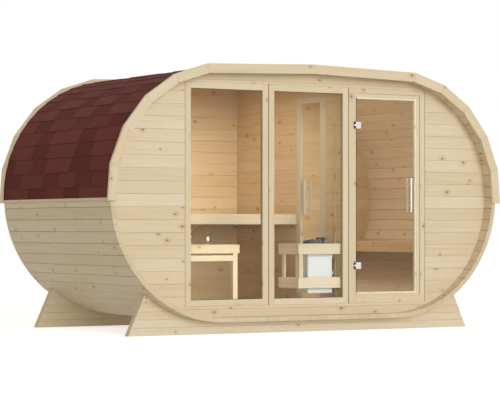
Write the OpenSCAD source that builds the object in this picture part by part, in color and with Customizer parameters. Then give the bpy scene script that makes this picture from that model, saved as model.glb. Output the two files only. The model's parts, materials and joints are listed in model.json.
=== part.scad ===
// Barrel sauna: a body of staves with a flat floor and half-round ends, standing on two cradles.
// Millimetres. X runs along the glazed front, Y from front to back, Z up. Origin on the ground
// under the middle of the body.

/* [Body of staves] */
// Outer width of the body over both half-round ends
body_w = 3990; // [3600:10:4400]
// Length of the staves, from front edge to back edge
body_d = 2180; // [1900:10:2600]
// Outer height of the half-round ends, which is twice their radius
body_h = 2190; // [2190:10:2320]
// Height of the underside of the body above the ground
belly_z = 105; // [80:5:140]
// Thickness of the staves
stave_t = 40; // [28:1:45]
// Number of staves round each half-round end
end_staves = 32; // [24:2:40]
// Rise of the roof from its shoulders to the ridge
ridge_rise = 24; // [10:1:60]

/* [Roof and fascia] */
// Thickness of the shingle covering
shingle_t = 8; // [4:1:12]
// Depth of the shingle edge below the middle height of the body
shingle_drop = 30; // [0:5:60]
// Height of the wooden strip under the shingle edge
edge_strip_h = 23; // [15:1:40]
// Thickness of the wooden strip under the shingle edge
edge_strip_t = 14; // [9:1:20]
// Width of the fascia boards
fascia_w = 82; // [60:1:110]
// Thickness of the fascia boards
fascia_t = 28; // [18:1:35]
// How far the outer edges of the fascia boards stand outside the staves
fascia_proud = 26; // [20:1:40]
// How far the ridge of the fascia stands over the ridge of the staves
fascia_ridge = 32; // [20:1:50]
// Number of short fascia boards on each side
fascia_boards = 5; // [4:1:7]
// Length of the lowest fascia boards below the middle height
fascia_drop = 57; // [20:1:90]
// Lean of the lowest fascia board from the upright
fascia_lean = 4.5; // [2:0.5:7]
// Lean of the last short fascia board from the upright
fascia_lean_top = 72.5; // [70:0.5:76]

/* [End walls] */
// Depth of the end walls behind the edges of the staves
recess = 113; // [60:1:160]
// Thickness of the end walls
wall_t = 40; // [28:1:45]

/* [Front glazing] */
// Left edge of the row of frames
row_x = -1227; // [-1260:1:-1180]
// Width of one frame with its gap
unit_w = 835; // [780:1:850]
// Gap between neighbouring frames
unit_gap = 8; // [4:1:12]
// Height of the wall between the bottom staves and the frames
wall_under = 96; // [85:1:120]
// Height of the wall between the frames and the shoulders of the roof, inside
wall_over = 84; // [70:1:160]
// Depth of the frames from front to back
frame_d = 40; // [38:1:50]
// Width of the window frame members
stile_w = 55; // [45:1:70]
// Depth of the window glass behind the face of its frame
glass_set = 28; // [15:1:30]
// Thickness of the window glass
glass_t = 6; // [4:1:7]
// Depth of the groove that holds the window glass
groove = 10; // [6:1:15]
// Depth of the strips between the frames behind the faces of the frames
strip_set = 16; // [8:1:25]

/* [Front door] */
// Width of the door frame at the hinges
hang_w = 75; // [65:1:90]
// Width of the door frame's face at the handle side
casing_w = 51; // [45:1:60]
// Height of the door frame's face above the leaf
head_h = 47; // [40:1:60]
// Height of the door frame's face below the leaf
sill_h = 70; // [60:1:80]
// Width of the rebate floor at the handle side
rebate_w = 53; // [45:1:60]
// Height of the rebate floor behind the top of the leaf
rebate_h = 48; // [40:1:60]
// Height of the rebate floor behind the foot of the leaf
rebate_low = 29; // [27:1:40]
// Width of the rebate floor at the hinges
rebate_hang = 10; // [8:1:14]
// Depth of the rebate behind the face of the frame
rebate_set = 14; // [13.5:0.5:18]
// Thickness of the door glass
leaf_t = 8; // [6:1:8]
// Free space round the moving leaf
leaf_gap = 5; // [5:0.5:6]
// Overlap of the leaf on the rebate floor
leaf_lap = 16; // [10:1:20]

/* [Hinges and handles] */
// Height of the hinges
hinge_h = 60; // [50:1:70]
// Height of the moving knuckle of a hinge
knuckle_h = 15; // [12:1:20]
// Radius of the hinge knuckles
knuckle_r = 8.5; // [7.5:0.5:9]
// Radius of the hinge pins
pin_r = 4; // [3:0.5:5]
// Distance from the hinge axis to the edge of the leaf
hinge_reach = 21; // [19:0.5:24]
// Width of the hinge plate on the glass
hinge_plate_w = 46; // [40:1:60]
// Distance of a hinge from the top or bottom of its leaf
hinge_in = 254; // [200:1:320]
// Radius of the steel handle bars
bar_r = 9; // [7:0.5:11]
// Radius of the wooden handle bars
wood_bar_r = 12; // [9:0.5:14]
// Length of the handle bars
bar_len = 314; // [250:1:400]
// Height of the lower end of the handle bars above the floor
bar_over = 831; // [750:1:900]
// Distance of the handle bars' centre line from the glass
bar_off = 30; // [26:1:45]
// Distance of a handle's posts from the ends of the bar
bar_post_in = 50; // [30:1:70]
// Radius of a handle's posts
bar_post_r = 6; // [4:0.5:7]
// Distance of the front handle from the edge of the leaf
handle_in = 83; // [60:1:110]

/* [Partition and inner door] */
// Left face of the partition
part_x = 398; // [380:1:420]
// Thickness of the partition
part_t = 45; // [40:1:60]
// Distance from the front wall to the inner doorway
doorway_in = 274; // [260:1:320]
// Width of the inner doorway in the partition
doorway_w = 498; // [460:1:560]
// Height of the wall between the inner doorway and the shoulders of the roof
over_doorway = 145; // [95:1:200]
// Width of the inner door frame's post at the hinges
inner_hang_w = 98; // [70:1:110]
// Width of the inner door frame's post at the handle side
inner_lock_w = 60; // [45:1:90]
// Height of the inner door frame's head
inner_head_h = 50; // [40:1:90]
// Gap under the inner leaf
inner_under = 15; // [8:1:30]
// Distance of the inner handle from the edge of its leaf
inner_handle_in = 89; // [60:1:110]
// Height of the lower end of the inner door's bars above the floor
inner_bar_over = 817; // [750:1:900]
// Width of the upright batten on the partition
batten_w = 33; // [25:1:40]
// Thickness of the upright batten
batten_t = 8; // [6:1:12]
// Distance of the batten from the front wall
batten_in = 99; // [90:1:150]

/* [Floor] */
// Height of the floor above the bottom staves
floor_over = 80; // [70:1:88]
// Thickness of the floor boards
floor_t = 28; // [18:1:35]
// Width of the floor joists
joist_w = 45; // [35:1:60]
// Number of floor joists
joists = 5; // [4:1:7]

/* [Benches] */
// Depth of the upper bench
upper_d = 1097; // [1000:1:1150]
// Height of the upper bench above the floor
upper_over = 817; // [780:1:860]
// Height of the front board of the upper bench
upper_fascia_h = 94; // [85:1:110]
// Depth of the lower bench
lower_d = 500; // [400:5:520]
// Height of the lower bench above the floor
lower_over = 544; // [500:1:560]
// Distance from the partition to the end of the lower bench
lower_in = 901; // [800:1:1000]
// Height of the front board of the lower bench
lower_fascia_h = 78; // [70:1:90]
// Height of the rail under the lower bench
rail_h = 52; // [40:1:60]
// Gap over the rail
rail_gap = 16; // [8:1:25]
// Distance of the rail and legs behind the front board
rail_set = 5; // [0:1:10]
// Width of the bench legs and bearers
leg_w = 48; // [40:1:60]
// Distance of the legs from the end of the lower bench
leg_in = 15; // [5:1:40]
// Distance from the staves at the floor to the lower bench's left leg
left_leg_gap = 33; // [20:1:90]
// Distance from the end of the staves' flat to the outer bearers
bearer_out = 700; // [600:10:750]
// Width of the right bench at its top
side_w = 420; // [380:1:440]
// Height of the right bench above the floor
side_over = 559; // [520:1:600]
// Height of the front board of the right bench
side_fascia_h = 99; // [85:1:110]
// Thickness of the bench boards
slat_t = 28; // [20:1:32]
// Width of a bench board with its gap, near which whole boards are fitted
slat_pitch = 134; // [110:1:150]
// Gap between bench boards
slat_gap = 15; // [8:1:20]
// Thickness of the benches' front boards
fascia_board_t = 25; // [18:1:30]

/* [Heater] */
// Width of the heater
heater_w = 261; // [230:1:280]
// Depth of the heater
heater_d = 200; // [160:1:210]
// Height of the heater's casing
heater_h = 440; // [400:1:460]
// Underside of the heater above the floor
heater_over = 108; // [80:1:130]
// Gap between the heater and the partition
heater_gap = 60; // [45:1:70]
// Thickness of the heater's sheet
sheet_t = 12; // [8:1:16]
// Depth of the tray of stones
tray_d = 110; // [80:1:140]
// Height of the stones over the casing
stones_over = 62; // [30:1:80]
// Height of the stones at their lowest side over the casing
stones_low = 8; // [0:1:20]
// Height of the wall rails that carry the heater
wall_rail_h = 34; // [25:1:45]
// Height of the lower wall rail above the heater's underside
low_rail = 164; // [120:1:190]
// Height of the upper wall rail above the heater's underside
high_rail = 313; // [270:1:350]
// Distance of the wall rails from the back of the heater
wall_rail_in = 15; // [10:1:40]
// Gap between the guard's posts and the heater
heater_in = 20; // [10:1:60]

/* [Guard] */
// Distance from the partition to the left end of the guard
guard_w = 457; // [430:1:480]
// Depth of the guard's side
guard_d = 342; // [310:1:480]
// Thickness of the guard's rails
guard_t = 18; // [15:1:20]
// Thickness of the guard's posts
guard_post_t = 20; // [16:1:22]
// Top of the guard above the floor
guard_over = 552; // [520:1:570]
// Height of the guard's rails
guard_rail_h = 96; // [80:1:110]
// Height of the gap between the guard's rails
guard_gap = 205; // [180:1:230]
// Width of the guard's posts
guard_post_w = 42; // [35:1:50]
// Distance of the guard's last post from the end of its side rails
guard_post_in = 30; // [0:1:50]

/* [Vents] */
// Radius of the vent holes in the back wall
vent_r = 27; // [20:1:35]
// Distance of the right vent from the partition
vent_in = 313; // [280:1:340]
// Height of the right vent above the floor
vent_over = 584; // [560:1:600]
// Distance from the right vent to the left vent
vent_pitch = 196; // [180:1:240]
// Rise from the right vent to the left vent
vent_rise = 30; // [0:1:40]
// Length of the wooden vent slide
slide_len = 190; // [170:1:220]
// Height of the wooden vent slide
slide_h = 60; // [50:1:80]
// Thickness of the wooden vent slide
slide_t = 12; // [8:1:16]
// Tilt of the wooden vent slide
slide_tilt = 33; // [25:1:40]
// Height of the slide's lower edge over the right vent's middle
slide_over = 50; // [45:1:60]

/* [Cradles] */
// Half of the length of a cradle on the ground
foot_half = 1757; // [1650:1:1850]
// Thickness of a cradle
foot_t = 65; // [50:1:90]
// Distance of a cradle behind the edge of the staves
foot_in = 140; // [100:1:300]
// Slope of the ends of a cradle, run over rise
foot_slope = 0.45; // [0.3:0.01:0.6]

/* [Hidden] */
$fn = 48;
end_r = body_h / 2;
end_x = body_w / 2 - end_r;
mid_z = belly_z + end_r;
front_y = -body_d / 2;
wall_face = front_y + recess;
wall_in = wall_face + wall_t;
shoulder_z = mid_z + end_r;
ridge_z = shoulder_z + ridge_rise;
far = 4 * body_w;
floor_z = belly_z + stave_t + floor_over;
frame_z = belly_z + stave_t + wall_under;
frame_top = shoulder_z - stave_t - wall_over;

function on_end(side, r, a) = [side * (end_x + r * cos(a)), mid_z + r * sin(a)];
function end_arc(side, r, a0, a1, n) = [for (i = [0 : n]) on_end(side, r, a0 + (a1 - a0) * i / n)];
function reversed(list) = [for (i = [len(list) - 1 : -1 : 0]) list[i]];
function section(inset) = concat(end_arc(1, end_r - inset, -90, 90, end_staves),
    [[0, ridge_z - inset]], reversed(end_arc(-1, end_r - inset, -90, 90, end_staves)));

// A flat shape drawn in X and Z, carried along Y from y0 to y1
module along_y(y0, y1) {
    translate([0, y1, 0])
        rotate([90, 0, 0])
            linear_extrude(y1 - y0)
                children();
}

// A block between two corners
module block(low, high) {
    translate(low)
        cube(high - low);
}

// A rectangle between two corners
module rect(low, high) {
    translate(low)
        square(high - low);
}

module inside_section() {
    polygon(section(stave_t));
}

// Staves of one quarter of the body, from angle a0 to a1 on the given side
module stave_quarter(side, a0, a1) {
    color([0.86, 0.80, 0.68])
        along_y(front_y, -front_y)
            polygon(concat(end_arc(side, end_r, a0, a1, end_staves / 2),
                reversed(end_arc(side, end_r - stave_t, a0, a1, end_staves / 2))));
}

module shell_bottom() {
    color([0.86, 0.80, 0.68])
        along_y(front_y, -front_y)
            rect([-end_x, belly_z], [end_x, belly_z + stave_t]);
}

module shell_left_lower() {
    stave_quarter(-1, -90, 0);
}

module shell_left_upper() {
    stave_quarter(-1, 0, 90);
}

module shell_right_lower() {
    stave_quarter(1, -90, 0);
}

module shell_right_upper() {
    stave_quarter(1, 0, 90);
}

module shell_top() {
    color([0.86, 0.80, 0.68])
        along_y(front_y, -front_y)
            polygon([[-end_x, shoulder_z], [-end_x, shoulder_z - stave_t], [0, ridge_z - stave_t],
                [end_x, shoulder_z - stave_t], [end_x, shoulder_z], [0, ridge_z]]);
}

// Half of the outline of the shingles: down the side at the radius r
function roof_half(side, r, low) = concat([[side * (end_x + r), low]],
    end_arc(side, r, 0, 90, end_staves / 2));

module roof_shingles() {
    low = mid_z - shingle_drop;
    r = end_r + shingle_t;
    color([0.36, 0.18, 0.16])
        along_y(front_y, -front_y)
            polygon(concat(roof_half(1, r, low), [[0, ridge_z + shingle_t]],
                reversed(roof_half(-1, r, low)), roof_half(-1, end_r, low), [[0, ridge_z]],
                reversed(roof_half(1, end_r, low))));
}

module roof_edge_strips() {
    z1 = mid_z - shingle_drop;
    color([0.86, 0.80, 0.68])
        for (side = [-1, 1])
            along_y(front_y, -front_y)
                polygon([[side * (end_x + end_r), z1 - edge_strip_h],
                    [side * (end_x + end_r + edge_strip_t), z1 - edge_strip_h],
                    [side * (end_x + end_r + edge_strip_t), z1], [side * (end_x + end_r), z1]]);
}

// Arch of mitred boards: short ones round each end, a long one to the ridge on each side.
// Each short board's edge touches a circle of the radius r at its lean.
fascia_turn = (fascia_lean_top - fascia_lean) / (fascia_boards - 1);
function fascia_side(side, r) = concat(
    [[side * (end_x + (r + fascia_drop * sin(fascia_lean)) / cos(fascia_lean)), mid_z - fascia_drop]],
    end_arc(side, r / cos(fascia_turn / 2), fascia_lean + fascia_turn / 2,
        fascia_lean_top + fascia_turn / 2, fascia_boards - 1));

module fascia(y0) {
    out = end_r + fascia_proud;
    in = out - fascia_w;
    top = ridge_z + fascia_ridge;
    color([0.88, 0.82, 0.70])
        along_y(y0, y0 + fascia_t)
            polygon(concat(fascia_side(1, out), [[0, top]], reversed(fascia_side(-1, out)),
                fascia_side(-1, in), [[0, top - fascia_w]], reversed(fascia_side(1, in))));
}

module fascia_front() {
    fascia(front_y - fascia_t);
}

module fascia_back() {
    fascia(-front_y);
}

row_end = row_x + 3 * unit_w;

// Part of the front wall between two corners, cut to the inside of the staves
module front_wall_part(low, high) {
    color([0.87, 0.81, 0.69])
        along_y(wall_face, wall_in)
            intersection() {
                inside_section();
                rect(low, high);
            }
}

module front_wall_left() {
    front_wall_part([-far, 0], [row_x, far]);
}

module front_wall_right() {
    front_wall_part([row_end, 0], [far, far]);
}

module front_wall_top() {
    front_wall_part([row_x, frame_top], [row_end, far]);
}

module front_wall_bottom() {
    front_wall_part([row_x, 0], [row_end, frame_z]);
}

module back_wall() {
    color([0.80, 0.72, 0.58])
        difference() {
            along_y(-wall_in, -wall_face)
                inside_section();
            for (i = [0, 1])
                translate([part_x - vent_in - i * vent_pitch, 0, floor_z + vent_over + i * vent_rise])
                    rotate([90, 0, 0])
                        cylinder(h = body_d, r = vent_r, center = true);
        }
}

doorway_y = wall_in + doorway_in;
doorway_end = doorway_y + doorway_w;
doorway_top = shoulder_z - stave_t - over_doorway;

// Stretch of the partition from y0 to y1 and up from z0, under the roof staves
module partition(y0, y1, z0) {
    color([0.72, 0.56, 0.38])
        along_y(y0, y1)
            intersection() {
                inside_section();
                rect([part_x, z0], [part_x + part_t, far]);
            }
}

module partition_back() {
    partition(doorway_end, -wall_in, floor_z);
}

module partition_front() {
    partition(wall_in, doorway_y, floor_z);
    color([0.72, 0.56, 0.38])
        block([part_x - batten_t, wall_in + batten_in, floor_z],
            [part_x, wall_in + batten_in + batten_w, frame_top]);
}

module partition_over_door() {
    partition(doorway_y, doorway_end, doorway_top);
}

module floor() {
    span = 2 * (end_x - joist_w);
    color([0.70, 0.55, 0.38]) {
        along_y(wall_in, -wall_in)
            intersection() {
                inside_section();
                rect([-far, floor_z - floor_t], [far, floor_z]);
            }
        for (i = [0 : joists - 1])
            translate([(i / (joists - 1) - 0.5) * span, 0, 0])
                block([-joist_w / 2, wall_in, belly_z + stave_t],
                    [joist_w / 2, -wall_in, floor_z - floor_t]);
    }
}

function unit_left(i) = row_x + i * unit_w + unit_gap / 2;
function unit_right(i) = row_x + (i + 1) * unit_w - unit_gap / 2;

module window_frame(i) {
    g = stile_w - groove;
    color([0.88, 0.82, 0.70])
        difference() {
            block([unit_left(i), wall_face, frame_z],
                [unit_right(i), wall_face + frame_d, frame_top]);
            block([unit_left(i) + stile_w, wall_face - 1, frame_z + stile_w],
                [unit_right(i) - stile_w, wall_face + frame_d + 1, frame_top - stile_w]);
            block([unit_left(i) + g, wall_face + glass_set, frame_z + g],
                [unit_right(i) - g, wall_face + glass_set + glass_t, frame_top - g]);
        }
}

module window_glass(i) {
    g = stile_w - groove;
    color([0.80, 0.82, 0.80, 0.4])
        block([unit_left(i) + g, wall_face + glass_set, frame_z + g],
            [unit_right(i) - g, wall_face + glass_set + glass_t, frame_top - g]);
}

module window_frame_left() {
    window_frame(0);
}

module window_glass_left() {
    window_glass(0);
}

module window_frame_middle() {
    window_frame(1);
}

module window_glass_middle() {
    window_glass(1);
}

// Strips that close the gaps beside and between the three frames
module frame_strips() {
    color([0.62, 0.48, 0.32])
        for (i = [0 : 3])
            block([max(row_x, unit_left(i) - unit_gap), wall_face + strip_set, frame_z],
                [min(row_x + 3 * unit_w, unit_left(i)), wall_face + frame_d, frame_top]);
}

// Opening in the door frame's face, and the smaller opening through its rebate floor
door_x0 = unit_left(2) + hang_w;
door_x1 = unit_right(2) - casing_w;
door_z0 = frame_z + sill_h;
door_z1 = frame_top - head_h;
clear_x0 = door_x0 + rebate_hang;
clear_x1 = door_x1 - rebate_w;
clear_z0 = door_z0 + rebate_low;
clear_z1 = door_z1 - rebate_h;
rebate_y = wall_face + rebate_set;

module door_frame() {
    color([0.88, 0.82, 0.70])
        difference() {
            block([unit_left(2), wall_face, frame_z],
                [unit_right(2), wall_face + frame_d, frame_top]);
            block([door_x0, wall_face - 1, door_z0], [door_x1, rebate_y, door_z1]);
            block([clear_x0, wall_face, clear_z0],
                [clear_x1, wall_face + frame_d + 1, clear_z1]);
        }
}

// Leaf of the front door: its glass stands free of the rebate floor
leaf_x0 = door_x0 + leaf_gap;
leaf_x1 = clear_x1 + leaf_lap;
leaf_z0 = clear_z0 - leaf_lap;
leaf_z1 = clear_z1 + leaf_lap;
leaf_back = rebate_y - leaf_gap;
leaf_front = leaf_back - leaf_t;

module door_glass() {
    color([0.80, 0.82, 0.80, 0.4])
        block([leaf_x0, leaf_front, leaf_z0], [leaf_x1, leaf_back, leaf_z1]);
}

// Running fits of the hinges
pin_gap = 0.06;
knuckle_gap = 0.5;
// Distance from the hinge axis back to the glass, and to the front of the arm, and its thickness
hinge_front = 10;
arm_front = 2;
arm_t = 5;
// Clearance between the knuckles and the edge of the hinge plate
plate_gap = 1.5;

// Moving half of one hinge at its axis, reaching to +X: a knuckle, an arm and a plate on the glass
module hinge_leaf() {
    arm_x = knuckle_r + plate_gap;
    difference() {
        union() {
            cylinder(h = knuckle_h, r = knuckle_r, center = true);
            block([0, arm_front, -knuckle_h / 2], [arm_x, arm_front + arm_t, knuckle_h / 2]);
            block([arm_x, arm_front, -hinge_h / 2],
                [hinge_reach + hinge_plate_w, arm_front + arm_t, hinge_h / 2]);
            block([hinge_reach, arm_front + arm_t, -hinge_h / 2],
                [hinge_reach + hinge_plate_w, hinge_front, hinge_h / 2]);
        }
        cylinder(h = 2 * hinge_h, r = pin_r + pin_gap, center = true);
    }
}

// Fixed half of one hinge at its axis: the pin, and an ear over and under the moving knuckle
module hinge_bracket(face_y) {
    ear_h = (hinge_h - knuckle_h) / 2 - knuckle_gap;
    cylinder(h = hinge_h, r = pin_r, center = true);
    for (s = [-1, 1])
        translate([0, 0, s * (hinge_h - ear_h) / 2]) {
            cylinder(h = ear_h, r = knuckle_r, center = true);
            block([-knuckle_r, 0, -ear_h / 2], [knuckle_r, face_y, ear_h / 2]);
        }
}

axis_x = leaf_x0 - hinge_reach;
axis_y = leaf_front - hinge_front;

// Puts a hinge at each end of the front leaf
module at_front_hinges() {
    for (z = [leaf_z0 + hinge_in, leaf_z1 - hinge_in])
        translate([axis_x, axis_y, z])
            children();
}

module door_hinges() {
    color([0.78, 0.78, 0.78])
        at_front_hinges()
            hinge_leaf();
}

module door_hinge_brackets() {
    color([0.16, 0.14, 0.12])
        at_front_hinges()
            hinge_bracket(wall_face - axis_y);
}

bar_z = floor_z + bar_over;

// Upright bar of the radius r, on two posts that reach to y = 0
module pull_bar(side, r) {
    translate([0, side * bar_off, 0])
        cylinder(h = bar_len, r = r);
    for (z = [bar_post_in, bar_len - bar_post_in])
        translate([0, 0, z])
            rotate([-90 * side, 0, 0])
                cylinder(h = bar_off, r = bar_post_r);
}

module door_handle() {
    color([0.78, 0.78, 0.78])
        translate([leaf_x1 - handle_in, leaf_front, bar_z])
            pull_bar(-1, bar_r);
}

module door_inner_pull() {
    color([0.80, 0.68, 0.48])
        translate([leaf_x1 - handle_in, leaf_back, bar_z])
            pull_bar(1, wood_bar_r);
}

// Inner door: a frame in the doorway and a glass leaf in the rebate of its right side
frame_x1 = part_x + part_t;
inner_y0 = doorway_y + inner_hang_w;
inner_y1 = doorway_end - inner_lock_w;
inner_top = doorway_top - inner_head_h;
inner_rebate_x = frame_x1 - rebate_set;
inner_x0 = inner_rebate_x + leaf_gap;
inner_leaf_y0 = inner_y0 - rebate_hang + leaf_gap;
inner_leaf_y1 = inner_y1 + leaf_lap;
inner_leaf_z0 = floor_z + inner_under;
inner_leaf_z1 = inner_top + leaf_lap;
inner_axis_x = inner_x0 + leaf_t + hinge_front;
inner_axis_y = inner_leaf_y0 - hinge_reach;

module inner_door_frame() {
    color([0.82, 0.70, 0.50])
        difference() {
            block([part_x, doorway_y, floor_z], [frame_x1, doorway_end, doorway_top]);
            block([part_x - 1, inner_y0, floor_z - 1], [frame_x1 + 1, inner_y1, inner_top]);
            block([inner_rebate_x, inner_leaf_y0 - leaf_gap, floor_z - 1],
                [frame_x1 + 1, inner_leaf_y1 + leaf_gap, inner_leaf_z1 + leaf_gap]);
        }
}

module inner_door_glass() {
    color([0.80, 0.82, 0.80, 0.4])
        block([inner_x0, inner_leaf_y0, inner_leaf_z0],
            [inner_x0 + leaf_t, inner_leaf_y1, inner_leaf_z1]);
}

// Puts a hinge at each end of the inner leaf, its reach along +Y
module at_inner_hinges() {
    for (z = [inner_leaf_z0 + hinge_in, inner_leaf_z1 - hinge_in])
        translate([inner_axis_x, inner_axis_y, z])
            rotate([0, 0, 90])
                children();
}

module inner_door_hinges() {
    color([0.78, 0.78, 0.78])
        at_inner_hinges()
            hinge_leaf();
}

module inner_door_brackets() {
    color([0.16, 0.14, 0.12])
        at_inner_hinges()
            hinge_bracket(inner_axis_x - frame_x1);
}

module inner_door_handle() {
    color([0.78, 0.78, 0.78])
        translate([inner_x0 + leaf_t, inner_leaf_y1 - inner_handle_in, floor_z + inner_bar_over])
            rotate([0, 0, -90])
                pull_bar(1, bar_r);
}

module inner_door_pull() {
    color([0.80, 0.68, 0.48])
        translate([inner_x0, inner_leaf_y1 - inner_handle_in, floor_z + inner_bar_over])
            rotate([0, 0, -90])
                pull_bar(-1, wood_bar_r);
}

// How many bench boards fit between a and b, and their exact pitch there
function slat_count(a, b) = round((b - a) / slat_pitch);
function slat_step(a, b) = (b - a + slat_gap) / slat_count(a, b);

// Cuts the children to the room inside the staves
module in_room() {
    intersection() {
        union()
            children();
        along_y(front_y, -front_y)
            inside_section();
    }
}

upper_y = -wall_in - upper_d;
upper_z = floor_z + upper_over;
lower_y = upper_y - lower_d;
lower_z = floor_z + lower_over;
lower_x = part_x - lower_in;
side_z = floor_z + side_over;
side_wall = end_x + sqrt(pow(end_r - stave_t, 2) - pow(mid_z - side_z, 2));
side_x = side_wall - side_w;

// Bench boards along X, from x0 to x1, between y0 and y1, with their tops at z
module slats_x(x0, x1, y0, y1, z) {
    step = slat_step(y0, y1);
    for (i = [0 : slat_count(y0, y1) - 1])
        block([x0, y0 + i * step, z - slat_t], [x1, y0 + (i + 1) * step - slat_gap, z]);
}

module upper_bench() {
    y0 = upper_y + fascia_board_t;
    color([0.86, 0.74, 0.54])
        in_room() {
            block([-body_w / 2, upper_y, upper_z - upper_fascia_h], [part_x, y0, upper_z]);
            slats_x(-body_w / 2, part_x, y0 + slat_gap, -wall_in, upper_z);
            for (x = [-end_x - bearer_out, (part_x - end_x - bearer_out) / 2, part_x - leg_w])
                block([x, y0, upper_z - upper_fascia_h], [x + leg_w, -wall_in, upper_z - slat_t]);
        }
}

rail_top = lower_z - lower_fascia_h - rail_gap;
leg_x = lower_x - leg_in - leg_w;
room_r = end_r - stave_t;
left_leg_x = left_leg_gap - end_x - sqrt(pow(room_r, 2) - pow(mid_z - floor_z, 2));

module lower_bench() {
    y0 = lower_y + fascia_board_t;
    color([0.90, 0.80, 0.62])
        in_room() {
            block([-body_w / 2, lower_y, lower_z - lower_fascia_h], [lower_x, y0, lower_z]);
            slats_x(-body_w / 2, lower_x, y0 + slat_gap, upper_y, lower_z);
            block([-body_w / 2, lower_y + rail_set, rail_top - rail_h],
                [leg_x, y0, rail_top]);
            for (x = [left_leg_x, leg_x])
                block([x, y0, lower_z - lower_fascia_h], [x + leg_w, upper_y, lower_z - slat_t]);
        }
}

module lower_bench_legs() {
    color([0.90, 0.80, 0.62])
        for (at = [[leg_x, lower_y + rail_set], [left_leg_x, lower_y + fascia_board_t]])
            block([at[0], at[1], floor_z],
                [at[0] + leg_w, at[1] + leg_w, lower_z - lower_fascia_h]);
}

module right_bench() {
    x0 = side_x + fascia_board_t + slat_gap;
    low = side_z - side_fascia_h;
    step = slat_step(x0, side_wall);
    color([0.80, 0.62, 0.42])
        in_room() {
            block([side_x, wall_in, low], [side_x + fascia_board_t, -wall_in, side_z]);
            for (i = [0 : slat_count(x0, side_wall) - 1])
                block([x0 + i * step, wall_in, side_z - slat_t],
                    [x0 + (i + 1) * step - slat_gap, -wall_in, side_z]);
            for (y = [wall_in, -leg_w / 2, -wall_in - leg_w])
                block([side_x + fascia_board_t, y, low], [body_w / 2, y + leg_w, side_z - slat_t]);
        }
}

// Guard: rails nailed on the outer sides of posts, just behind the window frames
guard_x = part_x - guard_w;
guard_y = wall_face + frame_d + leaf_gap;
guard_z = floor_z + guard_over;
corner_gap = 1;

// Two rails in X and Z, from x = 0 to w, with posts of the guard's height behind them
module guard_panel(w, posts) {
    low = guard_z - 2 * guard_rail_h - guard_gap;
    along_y(0, guard_t) {
        rect([0, guard_z - guard_rail_h], [w, guard_z]);
        rect([0, low], [w, low + guard_rail_h]);
    }
    along_y(guard_t, guard_t + guard_post_t)
        for (x = posts)
            rect([x, low], [x + guard_post_w, guard_z]);
}

module guard_front() {
    color([0.88, 0.78, 0.58])
        translate([guard_x, guard_y, 0])
            guard_panel(guard_w, [guard_t + corner_gap]);
}

module guard_side() {
    y0 = guard_t + guard_post_t + corner_gap;
    color([0.70, 0.52, 0.34])
        translate([guard_x, guard_y + guard_d, 0])
            rotate([0, 0, -90])
                guard_panel(guard_d - guard_t,
                    [guard_post_in, guard_d - y0 - guard_post_w]);
}

// Heater: a casing with a tray of stones, hung on two rails on the partition
heater_x1 = part_x - heater_gap;
heater_x0 = heater_x1 - heater_w;
heater_y = guard_y + guard_t + guard_post_t + heater_in;
heater_z = floor_z + heater_over;
heater_top = heater_z + heater_h;

module heater() {
    color([0.93, 0.93, 0.93]) {
        difference() {
            block([heater_x0, heater_y, heater_z],
                [heater_x1, heater_y + heater_d, heater_top]);
            block([heater_x0 + sheet_t, heater_y + sheet_t, heater_top - tray_d],
                [heater_x1 - sheet_t, heater_y + heater_d - sheet_t, heater_top + 1]);
        }
        for (z = [heater_z + low_rail, heater_z + high_rail])
            block([heater_x1, wall_in + batten_in + batten_w + leaf_gap, z],
                [part_x, heater_y + heater_d - wall_rail_in, z + wall_rail_h]);
    }
}

// A heap that fills the tray and rises to the right, along a quarter of a sine wave
module heater_stones() {
    w = heater_w - 2 * sheet_t;
    steps = 8;
    heap = [for (i = [0 : steps])
        [w * i / steps, tray_d + stones_low + (stones_over - stones_low) * sin(90 * i / steps)]];
    color([0.35, 0.36, 0.38])
        translate([heater_x0 + sheet_t, 0, heater_top - tray_d])
            along_y(heater_y + sheet_t, heater_y + heater_d - sheet_t)
                polygon(concat([[w, 0], [0, 0]], heap));
}

module vent_slide() {
    color([0.62, 0.45, 0.28])
        translate([part_x - vent_in - vent_pitch / 2, -wall_in - slide_t, floor_z + vent_over + slide_over])
            rotate([0, -slide_tilt, 0])
                block([-slide_len / 2, 0, 0], [slide_len / 2, slide_t, slide_h]);
}

module foot(y0) {
    color([0.80, 0.72, 0.58])
        along_y(y0, y0 + foot_t)
            difference() {
                polygon([[-foot_half, 0], [foot_half, 0],
                    [foot_half - foot_slope * mid_z, mid_z], [-foot_half + foot_slope * mid_z, mid_z]]);
                polygon(section(0));
            }
}

module foot_front() {
    foot(front_y + foot_in);
}

module foot_back() {
    foot(-front_y - foot_in - foot_t);
}

shell_bottom();
shell_left_lower();
shell_left_upper();
shell_right_lower();
shell_right_upper();
shell_top();
roof_shingles();
roof_edge_strips();
fascia_front();
fascia_back();
front_wall_left();
front_wall_right();
front_wall_top();
front_wall_bottom();
back_wall();
partition_back();
partition_front();
partition_over_door();
floor();
window_frame_left();
window_glass_left();
window_frame_middle();
window_glass_middle();
frame_strips();
door_frame();
door_hinge_brackets();
door_glass();
door_hinges();
door_handle();
door_inner_pull();
inner_door_frame();
inner_door_brackets();
inner_door_glass();
inner_door_hinges();
inner_door_handle();
inner_door_pull();
upper_bench();
lower_bench();
lower_bench_legs();
right_bench();
heater();
heater_stones();
guard_front();
guard_side();
vent_slide();
foot_front();
foot_back();
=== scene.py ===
"""Looks of an oval barrel sauna: boards, staves, shingles, glass, metal, benches and heater."""

import json
import math

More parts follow.
